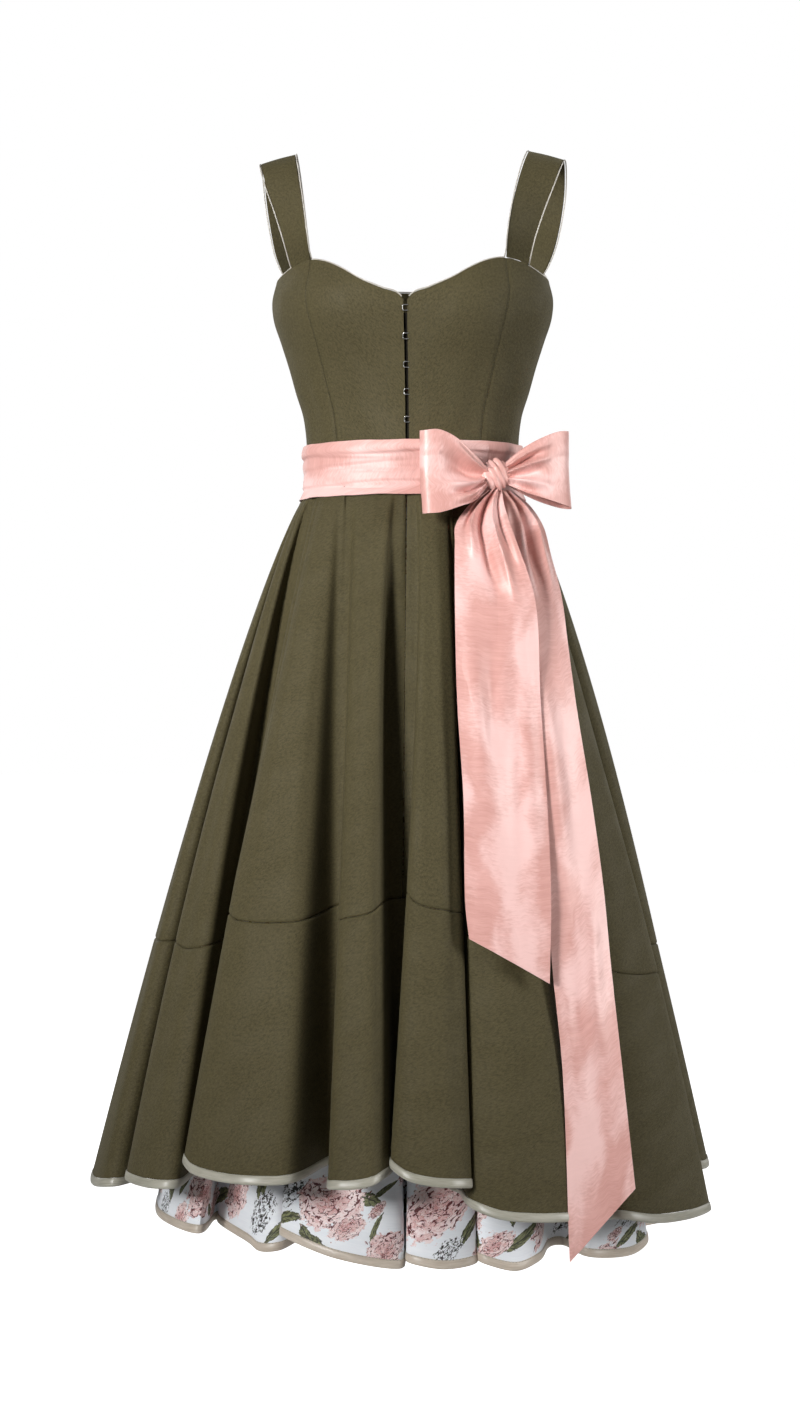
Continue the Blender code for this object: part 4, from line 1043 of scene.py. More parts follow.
def nearest_motif_group():
    """Keeps the nearer of two printed motifs: its own coordinates, with the outline at 1."""
    given, made = new_group("nearest motif", {
        "Place": NO_VECTOR, "Centre": NO_VECTOR, "Size": 0.02, "Turn": 0.0, "Stretch": 1.0,
        "Held Place": (9.0, 9.0, 9.0), "Held Distance": 99.0, "Number": 0.0,
    }, {"Place": NO_VECTOR, "Distance": 0.0})
    x, y, _ = parts(vector_maths("SUBTRACT", given["Place"], given["Centre"]))
    cos = maths("COSINE", given["Turn"])
    sin = maths("SINE", given["Turn"])
    own_x = (x * cos + y * sin) / given["Size"]
    own_y = (y * cos - x * sin) / (given["Size"] * given["Stretch"])
    distance = vector_maths("LENGTH", joined(own_x, own_y))
    nearer = maths("LESS_THAN", distance, given["Held Distance"])
    own = joined(own_x, own_y, given["Number"])
    set_inputs(made, Place=mixed(nearer, given["Held Place"], own, "VECTOR"),
               Distance=maths("MINIMUM", distance, given["Held Distance"]))
    return made.id_data


def nearest_of(group, place, motifs):
    """Run through a table of motifs and keep the nearest one at each place."""
    held = {}
    for number, motif in enumerate(motifs):
        found = use_group(group, Place=place, Centre=(motif.across, motif.up, 0.0), Size=motif.size,
                          Turn=math.radians(motif.turn), Stretch=motif.stretch,
                          Number=MOTIF_STEP * number, **held)
        held = {"Held_Place": found["Place"], "Held_Distance": found["Distance"]}
    return found


DRAWN = {"Mask": 0.0, "Tint": 0.0, "Line": 0.0}
PETAL_RIPPLE = Grain(2.6, 3.0, 0.6)
PETAL_TEAR = Grain(8.0, 3.0, 0.6)
PETAL_BREAK = Grain(5.0, 3.0, 0.7)
PETAL_STREAK = Grain(4.2, 3.0, 0.7)
PETAL_RINGS = 8.2
PETAL_RING_POWER = 0.70
LEAF_TEAR = Grain(4.0, 3.0, 0.6)
LEAF_TINT = Grain(3.0)
LEAF_BEND = 0.55
VEINS = 19.0
VEIN_SLANT = 9.0


def petals_group():
    """A many-petalled flower drawn with broken dark lines over two tints."""
    given, made = new_group("drawn petals", {
        "Place": NO_VECTOR, "Distance": 9.0, "Petals": 1.6, "Line": 0.075}, DRAWN)
    place = given["Place"]
    distance = given["Distance"]
    x, y, number = parts(place)
    safe = maths("MAXIMUM", distance, 0.03)
    ripple = noise(place, PETAL_RIPPLE)
    spread = (noise(place, PETAL_TEAR) - 0.5) * 0.55 + ((ripple - 0.5) * 1.2 + 1.0)
    ring = ripple * 3.6 + maths("POWER", safe, PETAL_RING_POWER) * PETAL_RINGS + number
    drawn = joined(x / safe * given["Petals"], y / safe * given["Petals"], ring)
    shade, _, _ = parts(cells(drawn, "F1", "Color"))
    width = given["Line"] * fitted(noise(place, PETAL_BREAK), 0.42, 0.66, 0.0, 3.0)
    near_edge = cells(drawn, "DISTANCE_TO_EDGE", "Distance") / maths("MAXIMUM", width, 0.001)
    mask = fitted(distance * spread, 0.95, 1.0, 1.0, 0.0)
    heart = fitted(distance, 0.0, 0.75, 0.55, 0.0)
    streak = fitted(noise(drawn, PETAL_STREAK), 0.42, 0.72, -0.30, 0.55)
    set_inputs(made, Mask=mask, Tint=shade * 0.62 + heart + streak,
               Line=fitted(near_edge, 0.7, 1.3, 1.0, 0.0) * mask)
    return made.id_data


def leaf_group():
    """A pointed leaf with a midrib, side veins and a dark, broken outline."""
    given, made = new_group("drawn leaf", {"Place": NO_VECTOR}, DRAWN)
    x, y, _ = parts(given["Place"])
    torn = noise(given["Place"], LEAF_TEAR) - 0.5
    from_rib = abs(x * x * LEAF_BEND + y)
    edge = (1.0 - x * x) * 0.9 - (torn * 0.75 + from_rib)
    mask = fitted(edge, 0.0, 0.03)
    outline = mask * fitted(edge, 0.05, 0.12, 1.0, 0.0)
    midrib = fitted(from_rib, 0.03, 0.09, 1.0, 0.0)
    vein = fitted(maths("SINE", x * VEINS - from_rib * VEIN_SLANT), 0.72, 0.95)
    line = maths("MAXIMUM", maths("MAXIMUM", outline, midrib), vein * 0.7)
    tint = fitted(noise(given["Place"], LEAF_TINT), 0.35, 0.65)
    set_inputs(made, Mask=mask, Tint=tint, Line=line * mask)
    return made.id_data


def printed(colour, drawn, light, dark, line):
    """Lay one drawn motif over a colour."""
    colour = mixed(drawn["Mask"], colour, mixed(drawn["Tint"], light, dark))
    return mixed(drawn["Line"], colour, line)


def print_finish(name):
    """White cotton printed with flowers, buds, leaves and outlined blossoms in a half-drop repeat."""
    material, shader, cloth = new_finish(name)
    across, along, _ = parts(cloth)
    wobble = noise(cloth, PRINT_WOBBLE) * PRINT_WOBBLE_WIDTH - PRINT_WOBBLE_WIDTH / 2.0
    across = across + PRINT_SHIFT + wobble
    number = maths("FLOOR", across / REPEAT_WIDTH)
    drop = maths("MODULO", abs(number), 2.0) * HALF_DROP
    up = maths("FLOORED_MODULO", along + wobble + drop, REPEAT_HEIGHT)
    place = joined(across - number * REPEAT_WIDTH, up)
    nearest = nearest_motif_group()
    petals = petals_group()
    flower, bud, blossom = [
        use_group(petals, Place=found["Place"], Distance=found["Distance"], Petals=many, Line=line)
        for found, many, line in ((nearest_of(nearest, place, BIG_FLOWERS), 1.7, 0.046),
                                  (nearest_of(nearest, place, BUDS), 0.9, 0.10),
                                  (nearest_of(nearest, place, LINE_FLOWERS), 1.1, 0.10))]
    leaf = use_group(leaf_group(), Place=nearest_of(nearest, place, LEAVES)["Place"])
    colour = printed(PRINT_GROUND, leaf, LEAF_DARK, LEAF_LIGHT, INK)
    colour = printed(colour, blossom, PRINT_GROUND, PRINT_GROUND, INK)
    colour = printed(colour, bud, PETAL_LIGHT, PETAL_DARK, PRINT_LINE)
    colour = printed(colour, flower, PETAL_LIGHT, PETAL_DARK, PRINT_LINE)
    weave = satin_weave(PRINT_COTTON, cloth)
    set_inputs(shader, Base_Color=mixed(1.0, colour, weave["Colour"], blend="MULTIPLY"),
               Roughness=weave["Roughness"], Normal=bumped(weave["Height"], PRINT_BUMP, 0.4),
               Specular_IOR_Level=PRINT_COTTON.specular)
    return material


OLIVE_TWILL = twill_finish("olive twill", OLIVE)
SHADE_PAINTED_FACING = shade_painted_finish("underlap painted dark as shade")
PINK_SATIN = satin_finish("pink satin", PINK, crumpled=True)
BAND_SATIN = satin_finish("pink satin laid round", BAND_PINK, crumpled=True, turned=True)
SILVER_TAPE = satin_finish("silver satin tape", SILVER)
CHAMPAGNE_TAPE = satin_finish("champagne satin tape", CHAMPAGNE)
PIPING_SATIN = satin_finish("piping satin", CORD)
THREAD = satin_finish("olive thread", OLIVE_THREAD)
TAPE_THREAD = satin_finish("tape thread", PALE_THREAD)
FLORAL_PRINT = print_finish("printed cotton")
HOOK_STEEL = wire_finish("polished wire")
OUTER_CLOTH = Cloth(TWILL, OLIVE_TWILL, "twill")
# The underlap's cloth, coloured near black as painted shade
SHADE_PAINTED_CLOTH = Cloth(TWILL, SHADE_PAINTED_FACING, "dark_facing")
UNDER_CLOTH = Cloth(PRINT_CLOTH, FLORAL_PRINT, "floral_print")
BOW_CLOTH = Cloth(SATIN, PINK_SATIN, "sash_satin")
BAND_CLOTH = Cloth(SATIN, BAND_SATIN, "sash_satin")


# Bodice

MIRROR = np.array([-1.0, 1.0, 1.0])
TORSO_Z = np.array([ring.z for ring in TORSO])
TORSO_SIZES = np.array([ring[1:] for ring in TORSO])
EDGE_ANGLES = np.array([point.angle for point in UPPER_EDGE])
EDGE_Z = np.array([point.z for point in UPPER_EDGE])


def level_curve(knots, values, at):
    """Smooth curve through a table's values, whose slopes are those of the table."""
    values = values.reshape(len(knots), -1)
    slopes = np.gradient(values, knots, axis=0)
    return hermite(values, slopes, knots, np.clip(at, knots[0], knots[-1]))


def torso_points(angles, heights):
    """Outer points of the bodice at angles from the centre front and heights."""
    angles, heights = np.broadcast_arrays(np.asarray(angles, float), np.asarray(heights, float))
    sizes = level_curve(TORSO_Z, TORSO_SIZES, heights.reshape(-1)).reshape(*heights.shape, 3)
    turn = np.radians(angles)
    depth = np.where(np.cos(turn) > 0.0, sizes[..., 1], sizes[..., 2])
    off_centre = (np.abs(angles) - BUST_ANGLE) / BUST_SPREAD
    off_height = (heights - BUST_Z) / BUST_HEIGHT
    bust = BUST_RISE * np.exp(-0.5 * off_centre ** 2 - 0.5 * off_height ** 2)
    return np.stack([sizes[..., 0] * np.sin(turn), -depth * np.cos(turn) - bust, heights], axis=-1)


def upper_edge_heights(angles):
    angles = np.abs(np.asarray(angles, float))
    angles = np.where(angles > 180.0, 360.0 - angles, angles)
    return level_curve(EDGE_ANGLES, EDGE_Z, angles.reshape(-1)).reshape(angles.shape)


def princess_angles(shares):
    return PRINCESS_WAIST + (PRINCESS_TOP - PRINCESS_WAIST) * shares


def front_edge_angles(heights):
    half_widths = level_curve(TORSO_Z, TORSO_SIZES, heights)[:, 0]
    return np.degrees(np.arcsin((FRONT_GAP_HALF + SEAM_GAP / 2.0) / half_widths))


def bodice_grid(start, end):
    """Points of one panel between two seams, each an angle or the name of a shaped seam."""
    shares = np.linspace(1.0, 0.0, BODICE_ROWS)
    rough_heights = mix(WAIST_Z, upper_edge_heights(PRINCESS_TOP), shares)
    seams = {"front": front_edge_angles(rough_heights), "princess": princess_angles(shares)}
    first = seams.get(start, np.full(BODICE_ROWS, start if isinstance(start, float) else 0.0))
    last = seams.get(end, np.full(BODICE_ROWS, end if isinstance(end, float) else 0.0))
    columns = int(abs(last[0] - first[0]) / BODICE_COLUMN_DEGREES) + 2
    angles = mix(first[:, None], last[:, None], np.linspace(0.0, 1.0, columns)[None])
    tops = upper_edge_heights(angles[0])
    heights = WAIST_Z + shares[:, None] * (tops[None] - WAIST_Z)
    return torso_points(angles, heights)


def trimmed(grid, gap):
    """Pull all four edges of a grid in by half a seam gap."""
    grid = grid.copy()
    for _ in range(2):
        for edge, inner in ((0, 1), (-1, -2)):
            step = grid[inner] - grid[edge]
            grid[edge] += step * (gap / 2.0) / np.linalg.norm(step, axis=1, keepdims=True)
        grid = grid.transpose(1, 0, 2)
    return grid


BodicePanel = namedtuple("BodicePanel", "start end cut creases")
FRONT_PANEL_CREASES = table(Crease, [
    (0.55, 0.5, 0.03, 0.45, 1.0, 0.012, 0.016, 0.0, 0.001, 0.0004),
    (0.8, 0.86, 0.0, 0.3, 0.9, 0.008, 0.012, 0.0, -0.0008),
])
SIDE_PANEL_CREASES = table(Crease, [
    (0.4, 0.34, 0.0, 0.35, 1.0, 0.01, 0.014, 0.0, -0.001, -0.0004),
    (0.72, 0.7, 0.0, 0.2, 0.8, 0.008, 0.01, 0.0, 0.0008),
])
BACK_PANEL_CREASES = table(Crease, [
    (0.3, 0.33, 0.0, 0.35, 1.0, 0.012, 0.014, 0.0, -0.001),
    (0.66, 0.62, 0.0, 0.45, 0.95, 0.012, 0.014, 0.0, -0.0012),
])
BODICE_PANELS = {
    "bodice_front": BodicePanel("front", "princess", Cut(0.115, 0.235, 0.0210), FRONT_PANEL_CREASES),
    "bodice_side_front": BodicePanel(
        "princess", SIDE_ANGLE, Cut(0.115, 0.245, 0.0215), SIDE_PANEL_CREASES),
    "bodice_side_back": BodicePanel(
        SIDE_ANGLE, BACK_SEAM_ANGLE, Cut(0.105, 0.250, 0.0210), SIDE_PANEL_CREASES),
}
BACK_PANEL = BodicePanel(
    BACK_SEAM_ANGLE, 360.0 - BACK_SEAM_ANGLE, Cut(0.205, 0.240, 0.0410), BACK_PANEL_CREASES)


def make_bodice_panel(name, panel, side):
    full = bodice_grid(panel.start, panel.end)
    open_front = panel.start == "front"
    rise = crease_heights(full, panel.creases) + edge_dip(full, left=not open_front)
    grid = lifted(trimmed(full, SEAM_GAP), rise)
    under = lifted(full, rise)
    if side < 0:
        grid = grid[:, ::-1] * MIRROR
        under = under[:, ::-1] * MIRROR
    make_cloth(name, grid, OUTER_CLOTH, "stretched", panel.cut, under=under)


def make_bodice():
    for name, panel in BODICE_PANELS.items():
        make_bodice_panel(name + "_left", panel, 1)
        make_bodice_panel(name + "_right", panel, -1)
    make_bodice_panel("bodice_back", BACK_PANEL, 1)


UNDERLAP_CUT = Cut(0.022, 0.165, 0.0035)
UNDERLAP_ROWS = 40
UNDERLAP_COLUMNS = 9


def make_front_underlap():
    """The strip behind the open front edges, coloured near black as painted shade of the gap."""
    top = upper_edge_heights(UNDERLAP_TOP_ANGLE)
    heights = mix(WAIST_Z, top, np.linspace(UNDERLAP_TOP_SHARE, 0.0, UNDERLAP_ROWS))
    across = np.linspace(-1.0, 1.0, UNDERLAP_COLUMNS)
    grid = torso_points(np.abs(across)[None] * UNDERLAP_ANGLE, heights[:, None])
    grid[..., 0] *= np.sign(across)[None]
    grid = lifted(grid, np.full(grid.shape[:2], -FRAME_TWILL - UNDERLAP_GAP))
    make_cloth("front_underlap", grid, SHADE_PAINTED_CLOTH, "stretched", UNDERLAP_CUT)


# Shoulder straps

STRAP_ROWS = 120
STRAP_COLUMNS = 22
STRAP_CUT = Cut(0.041, 0.345, 0.0135)
SIDES = {"left": 1.0, "right": -1.0}


def strap_grid(side):
    """From the bodice's front edge over the shoulder to its back edge, inner edge first."""
    rows = [torso_points(STRAP_FRONT_ANGLES, upper_edge_heights(STRAP_FRONT_ANGLES))]
    for section in STRAP:
        inner = np.array(section[:3])
        outer = np.array(section[3:])
        rows.append([inner, mix(inner, outer, 0.5) + np.array([0.0, 0.0, STRAP_CROWN]), outer])
    rows.append(torso_points(STRAP_BACK_ANGLES, upper_edge_heights(STRAP_BACK_ANGLES)))
    grid = refined(rows, STRAP_ROWS, STRAP_COLUMNS)
    grid[..., 0] *= side
    return grid


def make_straps():
    for label, side in SIDES.items():
        grid = trimmed(strap_grid(side), 2.0 * SEAM_GAP)
        make_cloth(f"strap_{label}", grid, OUTER_CLOTH, "stretched", STRAP_CUT, out=-side)


def stood_off(edge, inside, distance):
    """An edge moved on, away from the points inside it."""
    step = edge - inside
    return edge + distance * step / np.linalg.norm(step, axis=-1, keepdims=True)


def lower_side(edge, below):
    """The same points on the cloth's inner face."""
    inward = np.cross(np.gradient(edge, axis=0), below - edge)
    inward /= np.linalg.norm(inward, axis=1, keepdims=True)
    towards_middle = np.sign(np.sum(inward[:, :2] * -edge[:, :2], axis=1, keepdims=True))
    return edge + inward * towards_middle * TWILL


# Piping: points along a stretch of edge, the degrees that it keeps from a strap and from the
# centre front, the rows at a strap's ends that it leaves out, and how far inside an edge its
# direction is measured, in columns on a strap and in metres on the bodice
SHORT_STRETCH = 60
BACK_STRETCH = 110
STRAP_MARGIN = 1.0
NECK_START = 1.5
STRAP_END_ROWS = 4
EDGE_STEP = 2
EDGE_LEAN = 0.01


def bodice_edge(start, end, count):
    """The bodice's upper edge between two angles, a piping's radius above it."""
    angles = np.linspace(start, end, count)
    heights = upper_edge_heights(angles)
    edge = torso_points(angles, heights)
    below = torso_points(angles, heights - EDGE_LEAN)
    middle = (edge + lower_side(edge, below)) / 2.0
    return stood_off(middle, below, PIPING_CORD_RADIUS + SEAM_GAP)


def make_piping():
    """One cord round the neck opening and one round each armhole."""
    strap = strap_grid(1.0)[STRAP_END_ROWS:-STRAP_END_ROWS]
    distance = PIPING_CORD_RADIUS + 2.0 * SEAM_GAP
    inner_edge = stood_off(strap[:, 0], strap[:, EDGE_STEP], distance)
    outer_edge = stood_off(strap[:, -1], strap[:, -1 - EDGE_STEP], distance)
    behind = STRAP_BACK_ANGLES[0] + STRAP_MARGIN
    front = bodice_edge(NECK_START, STRAP_FRONT_ANGLES[0] - STRAP_MARGIN, SHORT_STRETCH)
    back = bodice_edge(behind, 360.0 - behind, BACK_STRETCH)
    neck = np.concatenate([front, inner_edge, back, inner_edge[::-1] * MIRROR, front[::-1] * MIRROR])
    piece = make_tube("neck_piping_cord", neck, PIPING_CORD_RADIUS, PIPING_SATIN)
    stands_for("neck_piping")
    under_arm = bodice_edge(STRAP_BACK_ANGLES[2] - STRAP_MARGIN, STRAP_FRONT_ANGLES[2] + STRAP_MARGIN,
                            SHORT_STRETCH)
    armhole = np.concatenate([outer_edge, under_arm])
    for label, side in SIDES.items():
        piece = make_tube(f"armhole_piping_{label}_cord", armhole * (side, 1.0, 1.0),
                          PIPING_CORD_RADIUS, PIPING_SATIN, closed=True)
        stands_for(f"armhole_piping_{label}")


# Skirt

SkirtColumns = namedtuple("SkirtColumns", "waist mean hem gape hem_z flounce")


def polar(angle, reach):
    """A point on plan, at an angle from the centre front."""
    turn = math.radians(angle)
    return np.array([reach * math.sin(turn), -reach * math.cos(turn)])


def fold_angle(point, fold, hollow, opening, reach):
    """Angle of one point of a fold at the hem."""
    if point.part == "hollow":
        return hollow
    if point.part == "hollow side":
        return hollow - point.side * math.degrees(opening / reach)
    if point.part == "edge":
        return fold.crest + point.side * fold.half
    return fold.crest + point.side * fold.half * SHOULDER_SHARE


def fold_columns(folds, mean_reach, skip=()):
    """Where a skirt's columns start at the waist and end at the hem, smooth between given points."""
    columns = []
    finer = []
    for number, fold in enumerate(folds):
        before = folds[number - 1]
        after = folds[(number + 1) % len(folds)]
        turn_back = 360.0 if number == 0 else 0.0
        hollow = (before.hollow - turn_back, fold.hollow)
        waist = (before.waist - turn_back, fold.waist)
        for point in FOLD_POINTS:
            if point.part in skip:
                finer[-1] += point.finer
                continue
            side = 1 if point.side > 0 else 0
            own_side = (before, fold)[side]
            neighbour = (before, after)[side]
            edge_hem = (fold.left_hem, fold.right_hem)[side]
            reach = mix(own_side.hollow_reach, fold.reach, point.depth_share)
            angle = fold_angle(point, fold, hollow[side], own_side.open, reach)
            hem_z = mix(mix(own_side.hollow_hem, edge_hem, point.to_edge), fold.hem, point.to_ridge)
            gape = -point.side * point.gape_share * own_side.gape
            flounce = mix(fold.flounce, neighbour.flounce, abs(point.share - 0.5))
            sink = 0.0
            if point.part in ("hollow", "hollow side"):
                sink = GAPE_SINK * max(own_side.gape - SINKING_GAPE, 0.0)
            columns.append([
                *polar(mix(*waist, point.share), 1.0), *polar(mix(*hollow, point.share), mean_reach),
                *polar(angle, reach), *(polar(hollow[side] + 90.0, gape) - polar(hollow[side], sink)),
                hem_z, flounce])
            finer.append(point.finer)
    columns = np.array(columns)
    knots = spaced_knots(columns[:, 4:6], around=True)
    at = [np.linspace(start, end, count, endpoint=False)
          for start, end, count in zip(knots, knots[1:], finer)]
    smooth = curve_through(columns, knots, np.concatenate(at), around=True)
    smooth[:, :2] /= np.linalg.norm(smooth[:, :2], axis=1, keepdims=True)
    pairs = [smooth[:, start:start + 2] for start in (0, 2, 4, 6)]
    return SkirtColumns(*pairs, smooth[:, 8], smooth[:, 9])


def skirt_grid(columns, shares, top_z, waist_inset=0.0):
    """Points of the skirt at shares of the way from waist to hem."""
    waist = columns.waist * (WAIST_HALF_WIDTH - waist_inset, WAIST_DEPTH - waist_inset)
    released = np.clip((shares - STITCHED_SHARE) / (1.0 - STITCHED_SHARE), 0.0, 1.0)[..., None]
    plan = waist[None] + released ** FLARE_POWER * (columns.mean - waist)[None]
    plan = plan + released ** FOLD_POWER * (columns.hem - columns.mean)[None]
    plan = plan + np.sin(np.pi * released ** GAPE_POWER) * columns.gape[None]
    heights = mix(top_z, columns.hem_z[None], shares)
    return np.concatenate([plan, heights[..., None]], axis=-1)


def share_above_hem(columns, top_z, height):
    """How far down each column a height above its hem lies."""
    return 1.0 - height / (top_z - columns.hem_z)


# Pleats stitched at the waist: a step down to each hollow on one side, fading down the skirt
PLEAT_STEP = 0.0022
PLEAT_FADE = 0.26
PLEAT_START = 0.030
PLEAT_SHARPNESS = 3
FOLD_HUMP_POWER = 1.2
ROW_SPACING_POWER = 1.35

# Soft folds of the skirt: fold number and share of the way across it, at both ends, then as Crease
SkirtCrease = namedtuple(
    "SkirtCrease", "fold to_fold top bottom width to_width rise mid_rise to_rise", defaults=(0.0,))
SKIRT_CREASES = table(SkirtCrease, [
    (0.42, 0.36, 0.03, 0.62, 0.004, 0.012, -0.0008, -0.003),
    (0.62, 0.66, 0.2, 1.0, 0.008, 0.014, 0.0, 0.003, 0.0016),
    (1.55, 1.6, 0.03, 0.45, 0.003, 0.009, -0.001, -0.0024),
    (1.4, 1.34, 0.3, 1.0, 0.008, 0.014, 0.0, 0.0026, 0.001),
    (2.34, 2.3, 0.03, 0.6, 0.003, 0.01, -0.001, -0.0034),
    (2.52, 2.46, 0.03, 0.9, 0.003, 0.014, 0.0006, 0.003),
    (2.72, 2.7, 0.1, 0.75, 0.004, 0.012, 0.0, -0.003),
    (2.6, 2.62, 0.55, 1.0, 0.012, 0.02, 0.0, -0.0024, -0.002),
    (3.5, 3.48, 0.03, 0.7, 0.003, 0.01, 0.0008, 0.0022),
    (3.62, 3.66, 0.3, 1.0, 0.006, 0.01, 0.0, -0.002, -0.0014),
    (4.4, 4.42, 0.05, 0.8, 0.004, 0.014, 0.0, 0.0024),
    (4.66, 4.6, 0.2, 1.0, 0.006, 0.014, 0.0, -0.0026, -0.0016),
    (5.3, 5.34, 0.3, 1.0, 0.01, 0.02, 0.0, -0.003, -0.002),
    (5.58, 5.62, 0.55, 1.0, 0.014, 0.018, 0.0, 0.003, 0.0016),
    (6.36, 6.34, 0.2, 0.95, 0.008, 0.018, 0.0, -0.0034),
    (6.6, 6.64, 0.35, 1.0, 0.01, 0.022, 0.0, 0.0036, 0.002),
    (7.5, 7.46, 0.05, 0.7, 0.004, 0.012, 0.0006, 0.0022),
    (8.4, 8.44, 0.1, 0.9, 0.005, 0.014, 0.0, -0.0028),
    (8.64, 8.6, 0.35, 1.0, 0.008, 0.016, 0.0, 0.0026, 0.0014),
    (9.34, 9.3, 0.04, 0.66, 0.004, 0.012, -0.0006, -0.0028),
    (9.6, 9.62, 0.3, 1.0, 0.008, 0.016, 0.0, 0.003, 0.0012),
    (10.46, 10.5, 0.05, 0.8, 0.004, 0.014, 0.0, 0.0026),
    (10.66, 10.7, 0.3, 1.0, 0.008, 0.014, 0.0, -0.0026, -0.0012),
    (11.38, 11.34, 0.04, 0.6, 0.004, 0.01, -0.0006, -0.003),
    (11.58, 11.6, 0.4, 1.0, 0.01, 0.018, 0.0, 0.003, 0.0018),
    (12.42, 12.46, 0.1, 0.9, 0.005, 0.016, 0.0, -0.003),
    (12.66, 12.62, 0.35, 1.0, 0.008, 0.014, 0.0, 0.0024, 0.0012),
    (13.36, 13.4, 0.05, 0.76, 0.004, 0.014, 0.0, 0.0028),
    (13.62, 13.58, 0.3, 1.0, 0.008, 0.016, 0.0, -0.0028, -0.0014),
    (14.4, 14.44, 0.04, 0.6, 0.004, 0.012, -0.0006, -0.0026),
    (14.62, 14.6, 0.3, 1.0, 0.008, 0.016, 0.0, 0.0028, 0.0014),
])


def skirt_crease_heights(grid, shares, creases):
    """Rise of the soft folds, measured across the skirt at each height."""
    across, _ = cloth_lengths(np.concatenate([grid, grid[:, :1]], axis=1))
    round_length = across[:, -1:]
    rows = np.arange(len(grid))[:, None]
    height = np.zeros(grid.shape[:2])
    for crease in creases:
        way = (shares - crease.top) / (crease.bottom - crease.top)
        number = mix(crease.fold, crease.to_fold, np.clip(way, 0.0, 1.0)) * COLUMNS_PER_FOLD
        lower = np.clip(np.floor(number).astype(int), 0, grid.shape[1] - 1)
        centre = mix(across[rows, lower], across[rows, lower + 1], number - lower)
        away = np.abs(across[:, :-1] - centre)
        away = np.minimum(away, round_length - away)
        height += crease_rise(crease, way, away, FOLD_HUMP_POWER)
    return height


def pleat_heights(shape, shares):
    """Each pleat laps over the hollow that follows it, as it was stitched at the waist."""
    place = (np.arange(shape[1]) % COLUMNS_PER_FOLD) / COLUMNS_PER_FOLD
    lap = np.where(place < 0.5, -0.5 + place, place - 0.5)
    lap = np.sign(lap) * np.abs(2.0 * lap) ** PLEAT_SHARPNESS * 0.5
    fade = eased(1.0 - (shares - PLEAT_START) / PLEAT_FADE) * eased(shares / PLEAT_START)
    return PLEAT_STEP * lap[None] * fade


SKIRT_CUTS = {
    "skirt_front_right": Cut(0.79, 0.53, 0.225),
    "skirt_front_left": Cut(0.78, 0.53, 0.232),
    "skirt_back": Cut(1.34, 0.53, 0.420),
    "flounce_front": Cut(2.14, 0.262, 0.458),
    "flounce_back": Cut(1.88, 0.262, 0.404),
}


def outer_skirt():
    """The whole outer surface in three stretches of rows: upper skirt, flounce and hem tape."""
    columns = fold_columns(FOLDS, MEAN_REACH)
    seam = share_above_hem(columns, TOP_OF_SKIRT_Z, columns.flounce)[None]
    binding = share_above_hem(columns, TOP_OF_SKIRT_Z, HEM_BINDING)[None]
    down = np.linspace(0.0, 1.0, SKIRT_ROWS)[:-1, None] ** ROW_SPACING_POWER
    beside = np.array(SEAM_ROWS)[:, None] / (TOP_OF_SKIRT_Z - columns.hem_z)
    lower = mix(seam, binding, np.linspace(0.0, 1.0, FLOUNCE_ROWS)[1:, None])
    shares = np.concatenate([
        down * seam, seam - beside, seam, seam + beside[::-1], lower, np.ones_like(binding)])
    grid = skirt_grid(columns, shares, TOP_OF_SKIRT_Z)
    grid = lifted(grid, np.full(shares.shape, FRAME_TWILL), around=True)
    rise = skirt_crease_heights(grid, shares, SKIRT_CREASES) + pleat_heights(grid.shape, shares)
    return lifted(grid, rise, around=True)


def taken(grid, start, end):
    """Columns from one number to another, past the last one to the first where need be."""
    return grid[:, np.arange(start, end + 1) % grid.shape[1]]


def make_outer_skirt():
    surface = outer_skirt()
    seam_row = SKIRT_ROWS + len(SEAM_ROWS) - 1
    upper = surface[:seam_row + 1]
    lower = surface[seam_row:-1]
    count = surface.shape[1]
    front = FRONT_SEAM_FOLD * COLUMNS_PER_FOLD
    side = SIDE_SEAM_FOLD * COLUMNS_PER_FOLD
    stretches = {
        "skirt_front_right": (upper, 0, front),
        "skirt_front_left": (upper, front, side),
        "skirt_back": (upper, side, count),
        "flounce_front": (lower, 0, side),
        "flounce_back": (lower, side, count),
    }
    for name, (rows, start, end) in stretches.items():
        grid = trimmed(taken(rows, start, end), SEAM_GAP)
        is_flounce = name.startswith("flounce")
        _, along = cloth_lengths(grid)
        from_seam = along if is_flounce else along[-1:] - along
        groove = GROOVE_DEPTH * np.exp(-(from_seam / GROOVE_WIDTH) ** 2)
        grid = lifted(grid, edge_dip(grid) - groove)
        make_cloth(name, grid, OUTER_CLOTH, "hung", SKIRT_CUTS[name])
    make_tape("hem_binding", surface[-2:], TWILL, SILVER_TAPE)


# Folded tape: share of the way down the cloth and how far it stands off its face
TapePoint = namedtuple("TapePoint", "share bulge")
TAPE_SECTION = table(TapePoint, [
    (0.0, 0.0003),
    (0.06, 0.0007),
    (0.35, 0.001),
    (0.7, 0.001),
    (0.92, 0.0006),
    (1.0, 0.0),
])
TAPE_CLOTH = 0.0004
STITCH_LENGTH = 0.0024
STITCH_GAP = 0.0012
STITCH_WIDTH = 0.00038
STITCH_RISE = 0.00028
# Corners of a stitch: its two ends, its two sides, its top and its bottom
STITCH_FACES = np.array([
    (0, 2, 4), (2, 1, 4), (1, 3, 4), (3, 0, 4), (2, 0, 5), (1, 2, 5), (3, 1, 5), (0, 3, 5)])


